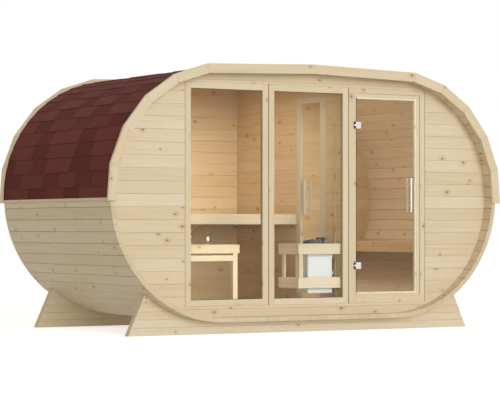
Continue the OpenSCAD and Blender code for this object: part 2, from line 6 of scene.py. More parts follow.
import bpy
import numpy as np
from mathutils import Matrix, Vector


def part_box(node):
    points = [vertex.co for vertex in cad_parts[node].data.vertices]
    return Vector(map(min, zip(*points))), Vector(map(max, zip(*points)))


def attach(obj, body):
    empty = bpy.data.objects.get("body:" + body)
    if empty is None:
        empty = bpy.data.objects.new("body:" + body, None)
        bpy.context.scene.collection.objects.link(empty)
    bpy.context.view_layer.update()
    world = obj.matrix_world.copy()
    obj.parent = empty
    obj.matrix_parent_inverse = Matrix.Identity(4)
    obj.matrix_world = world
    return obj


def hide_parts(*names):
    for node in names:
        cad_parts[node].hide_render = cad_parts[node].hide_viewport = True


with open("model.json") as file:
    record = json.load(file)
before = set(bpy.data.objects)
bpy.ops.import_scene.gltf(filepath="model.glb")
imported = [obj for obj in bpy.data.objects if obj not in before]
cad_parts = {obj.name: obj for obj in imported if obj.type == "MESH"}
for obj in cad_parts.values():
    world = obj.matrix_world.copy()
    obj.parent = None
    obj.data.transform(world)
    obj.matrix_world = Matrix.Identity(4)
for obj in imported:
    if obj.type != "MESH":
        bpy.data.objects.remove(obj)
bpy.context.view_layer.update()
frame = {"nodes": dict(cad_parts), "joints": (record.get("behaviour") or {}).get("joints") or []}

bl_info = {
    "name": "Barrel Sauna",
    "version": (1, 0, 0),
    "blender": (4, 5, 0),
    "location": "3D View > Sidebar > Sauna",
    "description": "Dresses the packed barrel sauna with boards, shingles, glass, metal and light",
    "category": "Add Mesh",
}

BOX = {name: np.array(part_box(name), float) for name in frame["nodes"]}
HINGE = {joint["child"]: joint["pos_m"] for joint in frame["joints"]}

# The axes, and for each run of a solid the run and the two directions of its outline
X, Y, Z = np.eye(3)
ALONG_X, ALONG_Y, ALONG_Z = (X, Y, Z), (Y, X, Z), (Z, X, Y)

# The body's section, read from the staves
FRONT, BACK = BOX["shell_bottom"][:, 1]
BELLY = BOX["shell_bottom"][0, 2]
STAVE = BOX["shell_bottom"][1, 2] - BELLY
END_X = BOX["shell_bottom"][1, 0]
MID = BOX["shell_left_lower"][1, 2]
END_R = MID - BELLY
ROOM_R = END_R - STAVE
RISE = BOX["shell_top"][1, 2] - MID - END_R
ROOM_LOW, ROOM_HIGH = MID - ROOM_R, MID + ROOM_R + RISE
FLOOR = BOX["floor"][1, 2]

# The openings of the front, read from its frames
WALL_FACE, WALL_IN = BOX["front_wall_left"][:, 1]
ROW_LEFT = BOX["front_wall_left"][1, 0]
ROW_RIGHT = BOX["front_wall_right"][0, 0]
FRAME_LOW, FRAME_HIGH = BOX["door_frame"][:, 2]

# The roof's length: upright under the round end, round it, and up the slope to the ridge
ROOF_DROP = MID - BOX["roof_shingles"][0, 2]
ROOF_ARC = END_R * math.pi / 2
ROOF_LENGTH = ROOF_DROP + ROOF_ARC + math.hypot(END_X, RISE)
SLOPE = math.atan2(RISE, END_X)

# The clearance that keeps a piece off its limit, what rounding may add, and the share of a
# face's normal along the grain from which the face is an end
CLEAR = 0.001
ROUNDING = 1e-6
END_SHARE = 0.8


def length(label, use, default, least=0.0):
    """A length in metres that the panel shows."""
    return bpy.props.FloatProperty(
        name=label, description=use, default=default, min=least, unit="LENGTH")


def colour(label, use, default):
    """A colour that the panel shows."""
    return bpy.props.FloatVectorProperty(
        name=label, description=use, default=default, subtype="COLOR", min=0, max=1)


def angle(label, use, degrees):
    """An angle that the panel shows."""
    return bpy.props.FloatProperty(
        name=label, description=use, default=math.radians(degrees), subtype="ANGLE")


class SaunaBoards(bpy.types.PropertyGroup):
    """Sizes of boards and staves"""

    pitch: length("Board Pitch", "Cover width of the wall boards", 0.110, 0.06)
    line: length("Front Joint", "Height of one joint of the front boards", 1.976)
    inner_line: length("Partition Joint", "Height of one joint of the partition boards", 1.674)
    joint: length("Joint", "Depth of the V joints between wall boards", 0.0020)
    stave_joint: length("Stave Joint", "Depth of the V joints between staves", 0.0042)
    slot: length("Slot", "Half of the width of the slot under a stave's V joint", 0.0010)
    deep: length("Slot Depth", "Depth of the slot under a stave's V joint", 0.0080)
    staves: bpy.props.IntProperty(
        name="Staves", description="Staves round each half-round end", default=32, min=8)
    flat_staves: bpy.props.IntProperty(
        name="Flat Staves", description="Staves across the flat underside", default=17, min=4)
    cradle_pitch: length("Cradle Pitch", "Height of one board of a cradle", 0.068, 0.04)
    edge: length("Edge", "Small chamfer on sawn edges", 0.0012)
    round_edge: length("Soft Edge", "Chamfer on the edges of bench boards", 0.0035)


class SaunaRoof(bpy.types.PropertyGroup):
    """Sizes of the shingles"""

    course: length("Course", "Exposed height of one course", 0.135, 0.05)
    first: length("First Course", "Exposed height of the lowest course", 0.095, 0.03)
    cover: length("Cover", "Length of a course under the next one", 0.020)
    low_lift: length("Low Tab", "Thickness of a low tab at its lower edge", 0.0048, 0.001)
    high_lift: length("High Tab", "Thickness of a raised tab at its lower edge", 0.0082, 0.001)
    narrow: length("Narrow Tab", "Width of the narrowest tab", 0.20)
    wide: length("Wide Tab", "Width of the widest tab", 0.62)
    cap: length("Ridge Cap", "Half of the width of the ridge caps", 0.125)


class SaunaHeater(bpy.types.PropertyGroup):
    """Sizes of the heater's stones"""

    stone: length("Stone", "Mean radius of a stone", 0.022, 0.01)
    seed: bpy.props.IntProperty(name="Seed", description="Order of the stones", default=7)


class SaunaColours(bpy.types.PropertyGroup):
    """Colours of the finishes"""

    spruce: colour("Spruce", "Early wood of the outer boards", (0.775, 0.660, 0.475))
    spruce_streak: colour("Spruce Streak", "Late wood of the outer boards", (0.640, 0.470, 0.270))
    inside: colour("Inside Wood", "Early wood of the inner boards", (0.745, 0.535, 0.285))
    inside_streak: colour("Inside Streak", "Late wood of the inner boards", (0.560, 0.330, 0.135))
    bench: colour("Bench Wood", "Bench boards, guard and wooden bars", (0.735, 0.610, 0.420))
    bench_streak: colour("Bench Streak", "Grain of the bench boards", (0.630, 0.465, 0.265))
    knot: colour("Knot", "Knots in the spruce", (0.360, 0.150, 0.045))
    # Dark grit: the shingles' own darker band, and painted shade on the low tabs from the course
    # above
    shingle_dark_and_shade: colour("Dark Shingle", "Grit of the low tabs", (0.102, 0.0155, 0.0110))
    shingle_light: colour("Light Shingle", "Grit of the raised tabs", (0.165, 0.041, 0.030))
    enamel: colour("Enamel", "Heater casing", (0.81, 0.81, 0.795))
    glass: colour("Glass", "Tint of the glass", (0.955, 0.975, 0.960))


class SaunaStage(bpy.types.PropertyGroup):
    """Camera and light"""

    camera: bpy.props.FloatVectorProperty(
        name="Camera", description="Place of the camera", subtype="TRANSLATION",
        default=(-9.745, -16.53, 0.925))
    turn: angle("Turn", "Turn of the camera from the front", -30.506)
    lens: bpy.props.FloatProperty(
        name="Lens", description="Focal length on a 36 mm sensor", default=149.4, unit="CAMERA")
    rise: bpy.props.FloatProperty(
        name="Rise", description="Vertical shift of the lens", default=0.0538)
    key: bpy.props.FloatProperty(
        name="Key Light", description="Strength of the light from the front", default=1.70)
    key_turn: angle("Key Turn", "Turn of that light to the right of the front", -3)
    key_rise: angle("Key Rise", "Height of that light over the horizon", 9)
    room: bpy.props.FloatProperty(
        name="Room Light", description="Strength of the light from all round", default=0.455)
    indoors: bpy.props.FloatProperty(
        name="Indoor Light", description="Power of each ceiling light", default=8.6,
        unit="POWER")


GROUPS = {
    "sauna_boards": SaunaBoards,
    "sauna_roof": SaunaRoof,
    "sauna_heater": SaunaHeater,
    "sauna_colours": SaunaColours,
    "sauna_stage": SaunaStage,
}


def setting(name):
    """The property group with that name on the scene."""
    return getattr(bpy.context.scene, name)


# Outlines


def half_width(z, radius):
    """Half of a section's width at the height z: half of the flat plus the chord of the end's
    circle, and over the shoulders the part of the roof's slope that is higher than z."""
    z = np.asarray(z, float)
    chord = np.sqrt(np.maximum(radius**2 - (z - MID) ** 2, 0))
    slope = END_X * np.clip(1 - (z - MID - radius) / RISE, 0, 1)
    return np.where(z > MID + radius, slope, END_X + chord)


def top_height(x, radius):
    """Height of a section's top at x: highest in the middle, falling evenly to both ends."""
    return MID + radius + RISE * (1 - np.abs(x) / END_X)


def end_point(side, radius, degrees):
    """Point of a half-round end in X and Z, at an angle over the horizontal."""
    turn = math.radians(degrees)
    return (side * (END_X + radius * math.cos(turn)), MID + radius * math.sin(turn))


def unit(vectors):
    """Each vector divided by its length."""
    return vectors / np.maximum(np.linalg.norm(vectors, axis=-1, keepdims=True), 1e-12)


def chamfered(corners, size):
    """A closed outline with each corner cut: one point on each side of the corner, at the
    distance size along the two edges that meet there."""
    points = np.asarray(corners, float)
    to_next = unit(np.roll(points, -1, 0) - points)
    to_last = -np.roll(to_next, 1, 0)
    return np.stack([points + size * to_last, points + size * to_next], 1).reshape(-1, 2)


def jointed(corners, joint, half_slot, deep):
    """Outline of a tongued board from its four corners, of which the first two lie on one face
    and the last two on the other. At each corner the outline steps back by half of the slot,
    runs up to the depth of the V, and is cut back to the face along the V."""
    points = np.asarray(corners, float)
    steps = np.array([(joint + deep, 0), (joint + deep, half_slot), (joint, half_slot),
        (0, joint + half_slot)])
    made = []
    for k, (on_face, on_side) in enumerate(((1, 3), (0, 2), (3, 1), (2, 0))):
        to_side, to_face = unit(points[[on_side, on_face]] - points[k])
        corner = points[k] + steps @ np.array([to_side, to_face])
        made.append(corner if k % 2 == 0 else corner[::-1])
    return np.concatenate(made)


def oblong(low, high, size=0.0):
    """A rectangle between two corners, with its corners cut by size."""
    corners = [(low[0], low[1]), (high[0], low[1]), (high[0], high[1]), (low[0], high[1])]
    return chamfered(corners, size) if size else np.array(corners, float)


def dense(loop, step):
    """The outline with its long edges divided evenly, so that no edge rises by more than
    step."""
    following = np.roll(loop, -1, 0)
    rises = np.abs(following - loop)[:, 1]
    counts = np.maximum(np.ceil(rises / step - ROUNDING).astype(int), 1)
    start = np.repeat(np.arange(len(loop)), counts)
    first = np.repeat(np.cumsum(counts) - counts, counts)
    share = ((np.arange(counts.sum()) - first) / counts[start])[:, None]
    return loop[start] * (1 - share) + following[start] * share


def rows(low, high, line, pitch, least=0.012):
    """Heights of the boards between low and high, with joints at line plus whole pitches. A
    strip lower than least joins its neighbour."""
    first = math.ceil((low - line) / pitch + ROUNDING)
    last = math.floor((high - line) / pitch - ROUNDING)
    cuts = [line + k * pitch for k in range(first, last + 1)]
    cuts = [z for z in cuts if z - low > least and high - z > least]
    return list(zip([low, *cuts], [*cuts, high]))


# Solids


def carried(loop, start, end, basis, draw=0.0, origin=(0, 0, 0)):
    """The closed loop of (across, up) points carried from start to end along the run. Each row
    is the loop at one station: the first and last rows are drawn in by the chamfer draw. The
    rows are joined by quads and one face closes each end."""
    count = len(loop)
    start = np.broadcast_to(np.asarray(start, float), count)
    end = np.broadcast_to(np.asarray(end, float), count)
    stations = [(loop, start), (loop, end)]
    if draw:
        middle = (loop.max(0) + loop.min(0)) / 2
        half = np.maximum((loop.max(0) - loop.min(0)) / 2, 2 * draw)
        small = middle + (loop - middle) * (1 - draw / half)
        stations = [(small, start), (loop, start + draw), (loop, end - draw), (small, end)]
    grid = np.concatenate([np.column_stack([along, ring]) for ring, along in stations])
    return closed_tube(np.asarray(origin, float) + grid @ np.array(basis), count)


def closed_tube(points, count, looped=False):
    """A closed solid from rings of count points each: quads between neighbouring rings, and one
    face over each end, or quads from the last ring to the first if it is looped. Faces are
    turned round if the volume comes out negative."""
    rings = len(points) // count
    column = np.arange(count)
    right = (column + 1) % count
    base = count * np.arange(rings if looped else rings - 1)[:, None]
    above = (base + count) % len(points)
    quads = np.stack([base + column, base + right, above + right, above + column], 2)
    quads = quads.reshape(-1, 4)
    caps = [] if looped else [column[::-1], column + count * (rings - 1)]
    spokes = points - points.mean(0)
    fans = [np.stack([np.repeat(cap[:1], len(cap) - 2), cap[1:-1], cap[2:]], 1) for cap in caps]
    triangles = np.concatenate([quads[:, [0, 1, 2]], quads[:, [0, 2, 3]], *fans])
    first, second, third = (spokes[triangles[:, k]] for k in range(3))
    if (first * np.cross(second, third)).sum() < 0:
        quads = quads[:, ::-1]
        caps = [cap[::-1] for cap in caps]
    return points, quads, caps


def wooden(solid, grain, across, tone, shift=(0.0, 0.0), slot=0):
    """A solid with its grain laid on: on the sides, metres along the grain and across it, and
    on the ends, metres from the board's middle, marked as end grain. A face is an end where its
    normal lies along the grain: a quad's comes from its diagonals, and an end face's from its
    spokes. A narrow edge takes another stretch of grain than the broad faces."""
    points, quads, caps = solid
    edge_shift = 0.5
    third = np.cross(grain, across)
    along, wide, thick = (points @ np.asarray(axis, float) for axis in (grain, across, third))
    from_middle = np.column_stack([v - (v.max() + v.min()) / 2 for v in (wide, thick)])
    normal = unit(np.cross(points[quads[:, 2]] - points[quads[:, 0]],
        points[quads[:, 3]] - points[quads[:, 1]]))
    ends = np.abs(normal @ grain) > END_SHARE
    on_edge = np.abs(normal @ across) > np.abs(normal @ third)
    side_v = np.where(on_edge[:, None], thick[quads] + edge_shift, wide[quads])
    uv = np.stack([along[quads] + shift[0], side_v + shift[1]], 2)
    uvs = [np.where(ends[:, None, None], from_middle[quads], uv).reshape(-1, 2)]
    marks = [np.repeat(ends.astype(float), 4)]
    for cap in caps:
        spokes = points[cap] - points[cap].mean(0)
        facing = unit(np.cross(spokes, np.roll(spokes, -1, 0)).sum(0))
        end = abs(facing @ grain) > END_SHARE
        flat = np.column_stack([along[cap] + shift[0], wide[cap] + shift[1]])
        uvs.append(from_middle[cap] if end else flat)
        marks.append(np.full(len(cap), float(end)))
    return {
        "points": points, "faces": [*quads, *caps], "uv": np.concatenate(uvs),
        "marks": np.concatenate(marks), "tone": tone, "slot": slot}


def plain(solid, tone=0.5, slot=0):
    """A solid whose finish doesn't follow its form."""
    return wooden(solid, Z, X, tone, slot=slot)


def turned(profile, origin, axis, side, count=32):
    """A solid turned on a lathe: at each (radius, station) of the profile a ring of count
    points round the axis."""
    turn = np.linspace(0, 2 * math.pi, count, endpoint=False)
    ring = np.outer(np.cos(turn), side) + np.outer(np.sin(turn), np.cross(axis, side))
    radius, station = np.asarray(profile, float).T
    points = radius[:, None, None] * ring + station[:, None, None] * axis
    return closed_tube(np.asarray(origin, float) + points.reshape(-1, 3), count)


def rounded_rod(radius, tall, size, steps):
    """Profile of a rod whose ends are rounded by size: quarter circles at both ends."""
    turn = np.linspace(0, math.pi / 2, steps + 1)
    tip = np.column_stack([radius - size * (1 - np.sin(turn)), size * (1 - np.cos(turn))])
    return np.concatenate([tip, np.column_stack([tip[::-1, 0], tall - tip[::-1, 1]])])


def block(low, high, size=0.0, grain=Z):
    """A box between two corners, its long edges and its ends cut by size, with its grain along
    one axis."""
    run = int(np.argmax(np.abs(grain)))
    a, b = [k for k in range(3) if k != run]
    low, high = np.minimum(low, high), np.maximum(low, high)
    loop = oblong((low[a], low[b]), (high[a], high[b]), size)
    return carried(loop, low[run], high[run], np.eye(3)[[run, a, b]], size)


def add(name, data):
    """A new object in the scene."""
    made = bpy.data.objects.new(name, data)
    bpy.context.scene.collection.objects.link(made)
    return made


def make(name, parts, materials, nodes=(), body="root", smooth=False):
    """One object from its solids: their points in a row, their faces renumbered, with the map
    'grain' in metres and the map 'board' with each solid's tone and its end-grain mark."""
    starts = np.cumsum([0] + [len(part["points"]) for part in parts])
    faces = [
        (face + start).tolist() for part, start in zip(parts, starts) for face in part["faces"]]
    mesh = bpy.data.meshes.new(name)
    mesh.from_pydata(np.concatenate([part["points"] for part in parts]), [], faces)
    tones = [
        np.column_stack([np.full(len(part["marks"]), part["tone"]), part["marks"]])
        for part in parts]
    for label, map_parts in {"grain": [part["uv"] for part in parts], "board": tones}.items():
        layer = mesh.uv_layers.new(name=label)
        layer.data.foreach_set("uv", np.concatenate(map_parts).ravel())
    slots = [np.full(len(part["faces"]), part["slot"]) for part in parts]
    mesh.polygons.foreach_set("material_index", np.concatenate(slots))
    for material in materials:
        mesh.materials.append(material)
    if smooth:
        mesh.polygons.foreach_set("use_smooth", np.ones(len(faces), bool))
        mesh.set_sharp_from_angle(angle=math.radians(38))
    mesh.update()
    piece = add(name, mesh)
    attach(piece, body)
    if nodes:
        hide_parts(*nodes)
    return piece


# Wood by the board


def chance(name):
    """Random numbers that are the same on each run, from the letters of a name."""
    return np.random.default_rng(sum(ord(c) * (k + 1) for k, c in enumerate(name)))


def own_look(name):
    """A board's own tone, and the place of its stretch of grain in nine metres of wood."""
    luck = chance(name)
    return luck.uniform(), luck.uniform(0, 9, 2)


def row_look(z, line, pitch):
    """Tone and stretch of grain of the board row at the height z, the same on every piece."""
    return own_look(f"row {math.floor((z - line) / pitch + ROUNDING)}")


def wall_board(faces, low, high):
    """Outline of a wall board between its two faces, with V joints and slots on both."""
    near, far = faces
    joint = min(setting("sauna_boards").joint, (high - low) / 5)
    corners = [(near, low), (near, high), (far, high), (far, low)]
    return jointed(corners, joint, joint / 4, 2 * joint)


def level_boards(spans, faces, left=-math.inf, right=math.inf):
    """Boards that lie along X in an end wall, from left to right, or to the room's outline where
    that is nearer: for each (low, high) a loop in Y and Z between the two faces, its long edges
    cut as a V joint. Near the flat top and bottom of the section, where its outline turns fast,
    the loop has closer points."""
    size = setting("sauna_boards")
    wide_step, close_step, fast = 0.02, 0.002, 0.86 * ROOM_R
    solids = []
    for low, high in spans:
        step = wide_step if max(high - MID, MID - low) < fast else close_step
        loop = dense(wall_board(faces, low, high), step)
        edge = half_width(loop[:, 1], ROOM_R)
        start = np.maximum(left, -edge)
        end = np.maximum(np.minimum(right, edge), start + CLEAR)
        look = row_look((low + high) / 2, size.line, size.pitch)
        solids.append(wooden(carried(loop, start, end, ALONG_X), X, Z, *look))
    return solids


def long_board(low, high, grain, name, size=None):
    """One straight board between two corners, with its own tone and its own stretch of
    grain."""
    edge = setting("sauna_boards").edge if size is None else size
    widths = np.abs(np.subtract(high, low)) * (1 - grain)
    across = np.eye(3)[int(np.argmax(widths))]
    return wooden(block(low, high, edge, grain), grain, across, *own_look(name))


def ring_of_boards(outer, inner, depth, name):
    """A frame in X and Z round an opening: two upright boards of full height, and a head and a
    sill between them."""
    (x0, z0), (x1, z1) = outer
    (u0, w0), (u1, w1) = inner
    y0, y1 = depth
    return [
        long_board((x0, y0, z0), (u0, y1, z1), Z, name + "left"),
        long_board((u1, y0, z0), (x1, y1, z1), Z, name + "right"),
        long_board((u0, y0, w1), (u1, y1, z1), X, name + "head"),
        long_board((u0, y0, z0), (u1, y1, w0), X, name + "sill")]


# Finishes


def feed(tree, made, inputs):
    """Sets or links a node's inputs, each found by its place or by its label, in which an
    underscore stands for a space."""
    for key, value in inputs.items():
        socket = made.inputs[key.replace("_", " ") if isinstance(key, str) else key]
        if isinstance(value, bpy.types.NodeSocket):
            tree.links.new(value, socket)
        else:
            socket.default_value = value
    return made


def node(tree, kind, options=(), places=(), **labels):
    """A new shader node with its options and its inputs."""
    made = tree.nodes.new("ShaderNode" + kind)
    for key, value in dict(options).items():
        setattr(made, key, value)
    return feed(tree, made, {**dict(places), **labels})


def calc(tree, kind, *values):
    """Result of a Math node."""
    return node(tree, "Math", {"operation": kind}, enumerate(values)).outputs[0]


def ramp(tree, value, low, high):
    """Value from 0 at low to 1 at high, with soft ends."""
    return node(tree, "MapRange", {"interpolation_type": "SMOOTHSTEP"}, Value=value,
        From_Min=low, From_Max=high).outputs[0]


def fade(tree, value, low, high):
    """Value from 1 at low to 0 at high, with soft ends."""
    return calc(tree, "SUBTRACT", 1.0, ramp(tree, value, low, high))


def blend(tree, share, low, high):
    """Colour between low and high."""
    made = node(tree, "Mix", {"data_type": "RGBA"}, {0: share, 6: low, 7: high})
    return made.outputs[2]


def stretched(tree, along, across, per_metre_along, per_metre_across):
    """Place on a board, in cells along the grain and across it."""
    return node(tree, "CombineXYZ", X=calc(tree, "MULTIPLY", along, per_metre_along),
        Y=calc(tree, "MULTIPLY", across, per_metre_across)).outputs[0]


def noise(tree, place, scale, detail, rough=0.5, flat=False):
    """Cloudy noise in space, or on a flat map."""
    return node(tree, "TexNoise", {"noise_dimensions": "2D" if flat else "3D"}, Vector=place,
        Scale=scale, Detail=detail, Roughness=rough).outputs[0]


def object_place(tree):
    """Place in the object's own metres."""
    return node(tree, "TexCoord").outputs["Object"]


def board_map(tree):
    """A board's tone and its end-grain mark."""
    board = node(tree, "UVMap", {"uv_map": "board"}).outputs[0]
    return node(tree, "SeparateXYZ", Vector=board).outputs[:2]


# Labels of group sockets that hold a vector or a colour: the others hold a number
KINDS = {
    **dict.fromkeys(("Grain", "Place", "Along"), "Vector"),
    **dict.fromkeys(("Color", "Early", "Late", "Knot", "Dark", "Light"), "Color")}


def sockets(tree, side, labels):
    """Adds group sockets with those labels on one side."""
    for label in labels:
        kind = "NodeSocket" + KINDS.get(label, "Float")
        tree.interface.new_socket(label, in_out=side, socket_type=kind)


def shared(tree, name, build, **inputs):
    """Outputs of a node group with its inputs fed. The group is built the first time: build
    gives its outputs by label."""
    known = bpy.data.node_groups.get(name)
    if known is None:
        known = bpy.data.node_groups.new(name, "ShaderNodeTree")
        sockets(known, "INPUT", inputs)
        results = build(known, known.nodes.new("NodeGroupInput").outputs)
        sockets(known, "OUTPUT", results)
        feed(known, known.nodes.new("NodeGroupOutput"), results)
    made = tree.nodes.new("ShaderNodeGroup")
    made.node_tree = known
    return feed(tree, made, inputs).outputs


def softwood_grain(tree, given):
    """Softwood: fine late-wood lines that wander along the board, broad warm bands, small oval
    knots with a halo that bends the lines, and growth rings on sawn ends."""
    along, across, _ = node(tree, "SeparateXYZ", Vector=given["Grain"]).outputs

    # Knots, at most one to a cell: cells per metre, the knot's stretch and its radius
    cell_long, cell_wide = 2.4, 11.0
    oval, least, spread = 1.5, 0.0040, 0.0062
    cells = stretched(tree, along, across, cell_long, cell_wide)
    spots = node(tree, "TexVoronoi", {"voronoi_dimensions": "2D"}, Vector=cells, Scale=1.0,
        Randomness=1.0)
    gap = node(tree, "VectorMath", {"operation": "SUBTRACT"},
        {0: cells, 1: spots.outputs["Position"]}).outputs[0]
    gap = node(tree, "SeparateXYZ", Vector=gap).outputs
    knot_x = calc(tree, "DIVIDE", gap[0], cell_long * oval)
    knot_y = calc(tree, "DIVIDE", gap[1], cell_wide)
    reach = calc(tree, "SQRT", calc(tree, "ADD", calc(tree, "MULTIPLY", knot_x, knot_x),
        calc(tree, "MULTIPLY", knot_y, knot_y)))
    luck = node(tree, "SeparateColor", Color=spots.outputs["Color"]).outputs
    there = calc(tree, "LESS_THAN", luck[0], given["Knots"])
    radius = calc(tree, "MULTIPLY_ADD", luck[1], spread, least)
    nearness = calc(tree, "DIVIDE", reach, radius)
    knot = calc(tree, "MULTIPLY", fade(tree, nearness, 0.75, 1.1), there)
    halo = calc(tree, "MULTIPLY", fade(tree, nearness, 0.9, 4.5), there)
    bend = calc(tree, "MULTIPLY", halo, calc(tree, "MULTIPLY", knot_y, 0.6))

    # Late wood: fine lines, broad bands and short dashes, bent round the knots
    wander = noise(tree, stretched(tree, along, across, 0.9, 5.0), 1.0, 1.0, flat=True)
    bent = calc(tree, "SUBTRACT", calc(tree, "MULTIPLY_ADD", wander, 0.030, across), bend)

    def streaks(per_metre_along, per_metre_across, detail, low, high, rough=0.5):
        at = stretched(tree, along, bent, per_metre_along, per_metre_across)
        return ramp(tree, noise(tree, at, 1.0, detail, rough, True), low, high)

    lines = streaks(1.3, 150.0, 3.0, 0.42, 0.78, 0.6)
    bands = streaks(1.1, 32.0, 2.0, 0.46, 0.80)
    dashes = streaks(9.0, 210.0, 2.0, 0.60, 0.74)
    share = calc(tree, "MULTIPLY_ADD", lines, 0.26, calc(tree, "MULTIPLY", bands, 0.26))
    share = calc(tree, "MULTIPLY_ADD", dashes, 0.30, share)
    share = calc(tree, "MULTIPLY_ADD", halo, 0.60, share)
    share = calc(tree, "MINIMUM", share, 1.0)
    face = blend(tree, share, given["Early"], given["Late"])

    # Growth rings on the ends, round a pith outside the board
    pith, ring_rate = (0.008, 0.055, 0.0), 1900.0
    from_pith = node(tree, "VectorMath", {"operation": "ADD"},
        {0: given["Grain"], 1: pith}).outputs[0]
    rings = node(tree, "VectorMath", {"operation": "LENGTH"}, {0: from_pith}).outputs["Value"]
    ringed = calc(tree, "SINE", calc(tree, "MULTIPLY", rings, ring_rate))
    ringed = calc(tree, "MULTIPLY_ADD", ringed, 0.22, 0.48)
    sawn = blend(tree, ringed, given["Early"], given["Late"])
    mixed = blend(tree, given["End"], face, sawn)
    mixed = blend(tree, calc(tree, "MULTIPLY", knot, 0.85), mixed, given["Knot"])
    value = calc(tree, "MULTIPLY_ADD", given["Tone"], 0.09, 0.955)
    warmth = calc(tree, "MULTIPLY_ADD", given["Tone"], -0.16, 1.08)
    toned = node(tree, "HueSaturation", Color=mixed, Saturation=warmth, Value=value)
    return {
        "Color": toned.outputs[0],
        "Roughness": calc(tree, "MULTIPLY_ADD", lines, 0.14, 0.52),
        "Height": calc(tree, "SUBTRACT", calc(tree, "MULTIPLY", lines, 0.5), knot)}


def mineral_grit(tree, given):
    """Mineral grit: coloured grains of about two millimetres over patches of lighter and darker
    grit."""
    grains = node(tree, "TexVoronoi", Vector=given["Place"], Scale=420.0)
    speck = node(tree, "SeparateColor", Color=grains.outputs["Color"]).outputs[0]
    patch = calc(tree, "MULTIPLY_ADD", noise(tree, given["Place"], 16.0, 3.0), 0.6, -0.55)
    share = calc(tree, "ADD", calc(tree, "MULTIPLY_ADD", speck, 0.5, patch), given["Tone"])
    share = calc(tree, "MINIMUM", calc(tree, "MAXIMUM", share, 0.0), 1.2)
    return {
        "Color": blend(tree, share, given["Dark"], given["Light"]),
        "Height": calc(tree, "SUBTRACT", 1.0, grains.outputs["Distance"])}


def brush_marks(tree, given):
    """Fine brush marks: noise drawn out along the brushing."""
    drawn = node(tree, "VectorMath", {"operation": "MULTIPLY"},
        {0: given["Place"], 1: given["Along"]}).outputs[0]
    marks = noise(tree, drawn, 1.0, 3.0)
    return {"Roughness": calc(tree, "MULTIPLY_ADD", marks, 0.20, 0.20), "Height": marks}


def opaque(tint):
    """A colour with its fourth number."""
    return (*tint, 1.0)


def surface(name, build):
    """The material of that name. It is made the first time: build gives its shader."""
    made = bpy.data.materials.get(name)
    if made is None:
        made = bpy.data.materials.new(name)
        made.use_nodes = True
        made.node_tree.nodes.clear()
        node(made.node_tree, "OutputMaterial", Surface=build(made.node_tree))
    return made


def principled(name, finish):
    """A material with one Principled node: finish gives its inputs by label."""
    return surface(name, lambda tree: node(tree, "BsdfPrincipled", **finish(tree)).outputs[0])


def relief(tree, height, distance, strength=1.0):
    """Bumped normal from a height."""
    bump = node(tree, "Bump", Height=height, Distance=distance, Strength=strength)
    return bump.outputs[0]


def wood(name, early, late, knots):
    """Planed softwood that follows the boards' own maps."""
    def finish(tree):
        tone, end = board_map(tree)
        along = node(tree, "UVMap", {"uv_map": "grain"}).outputs[0]
        grain = shared(tree, "Softwood Grain", softwood_grain, Grain=along, Tone=tone, End=end,
            Early=opaque(early), Late=opaque(late), Knot=opaque(setting("sauna_colours").knot),
            Knots=knots)
        return {
            "Base_Color": grain["Color"], "Roughness": grain["Roughness"],
            "Specular_IOR_Level": 0.35, "Normal": relief(tree, grain["Height"], 0.0006)}

    return principled(name, finish)


def spruce():
    colours = setting("sauna_colours")
    return wood("Spruce", colours.spruce, colours.spruce_streak, 0.33)


def inner_spruce():
    colours = setting("sauna_colours")
    return wood("Inner Spruce", colours.inside, colours.inside_streak, 0.34)


def bench_wood():
    colours = setting("sauna_colours")
    return wood("Bench Wood", colours.bench, colours.bench_streak, 0.06)


def grit(tree, dark, light):
    """Mineral grit by the piece's tone."""
    return shared(tree, "Mineral Grit", mineral_grit, Place=object_place(tree),
        Tone=board_map(tree)[0], Dark=opaque(dark), Light=opaque(light))


def shingle_grit():
    def finish(tree):
        colours = setting("sauna_colours")
        made = grit(tree, colours.shingle_dark_and_shade, colours.shingle_light)
        return {
            "Base_Color": made["Color"], "Roughness": 0.92, "Specular_IOR_Level": 0.25,
            "Normal": relief(tree, made["Height"], 0.0008)}

    return principled("Shingle Grit", finish)


def rough_stone():
    def finish(tree):
        made = grit(tree, (0.030, 0.030, 0.034), (0.26, 0.255, 0.265))
        coarse = noise(tree, object_place(tree), 60.0, 6.0)
        return {
            "Base_Color": made["Color"], "Roughness": 0.85,
            "Normal": relief(tree, coarse, 0.004)}

    return principled("Rough Stone", finish)


def clear_glass():
    """Clear glass with a coat that mirrors little, which lets the lamps' light through."""
    def finish(tree):
        shadow = node(tree, "LightPath").outputs["Is Shadow Ray"]
        return {
            "Base_Color": opaque(setting("sauna_colours").glass), "Transmission_Weight": 1.0,
            "Roughness": 0.0, "IOR": 1.45, "Specular_Tint": (0.45, 0.45, 0.45, 1.0),
            "Alpha": calc(tree, "MULTIPLY_ADD", shadow, -0.95, 1.0)}

    return principled("Clear Glass", finish)


def steel(name, tint, along, metallic=1.0):
    """Brushed metal, drawn out along one axis."""
    def finish(tree):
        marks = shared(tree, "Brush Marks", brush_marks, Place=object_place(tree), Along=along)
        return {
            "Base_Color": opaque(tint), "Metallic": metallic, "Roughness": marks["Roughness"],
            "Normal": relief(tree, marks["Height"], 0.00005)}

    return principled(name, finish)


def satin_steel():
    return steel("Satin Steel", (0.66, 0.65, 0.64), (900.0, 900.0, 12.0))


def dark_steel():
    return steel("Dark Steel", (0.055, 0.047, 0.040), (350.0, 350.0, 350.0), 0.7)


def enamel():
    def finish(tree):
        place = object_place(tree)
        broad = noise(tree, place, 7.0, 2.0)
        white = setting("sauna_colours").enamel
        return {
            "Base_Color": blend(tree, broad, opaque(white), opaque(0.94 * c for c in white)),
            "Roughness": calc(tree, "MULTIPLY_ADD", broad, 0.12, 0.26),
            "Normal": relief(tree, noise(tree, place, 320.0, 1.0), 0.0001, 0.5)}

    return principled("White Enamel", finish)


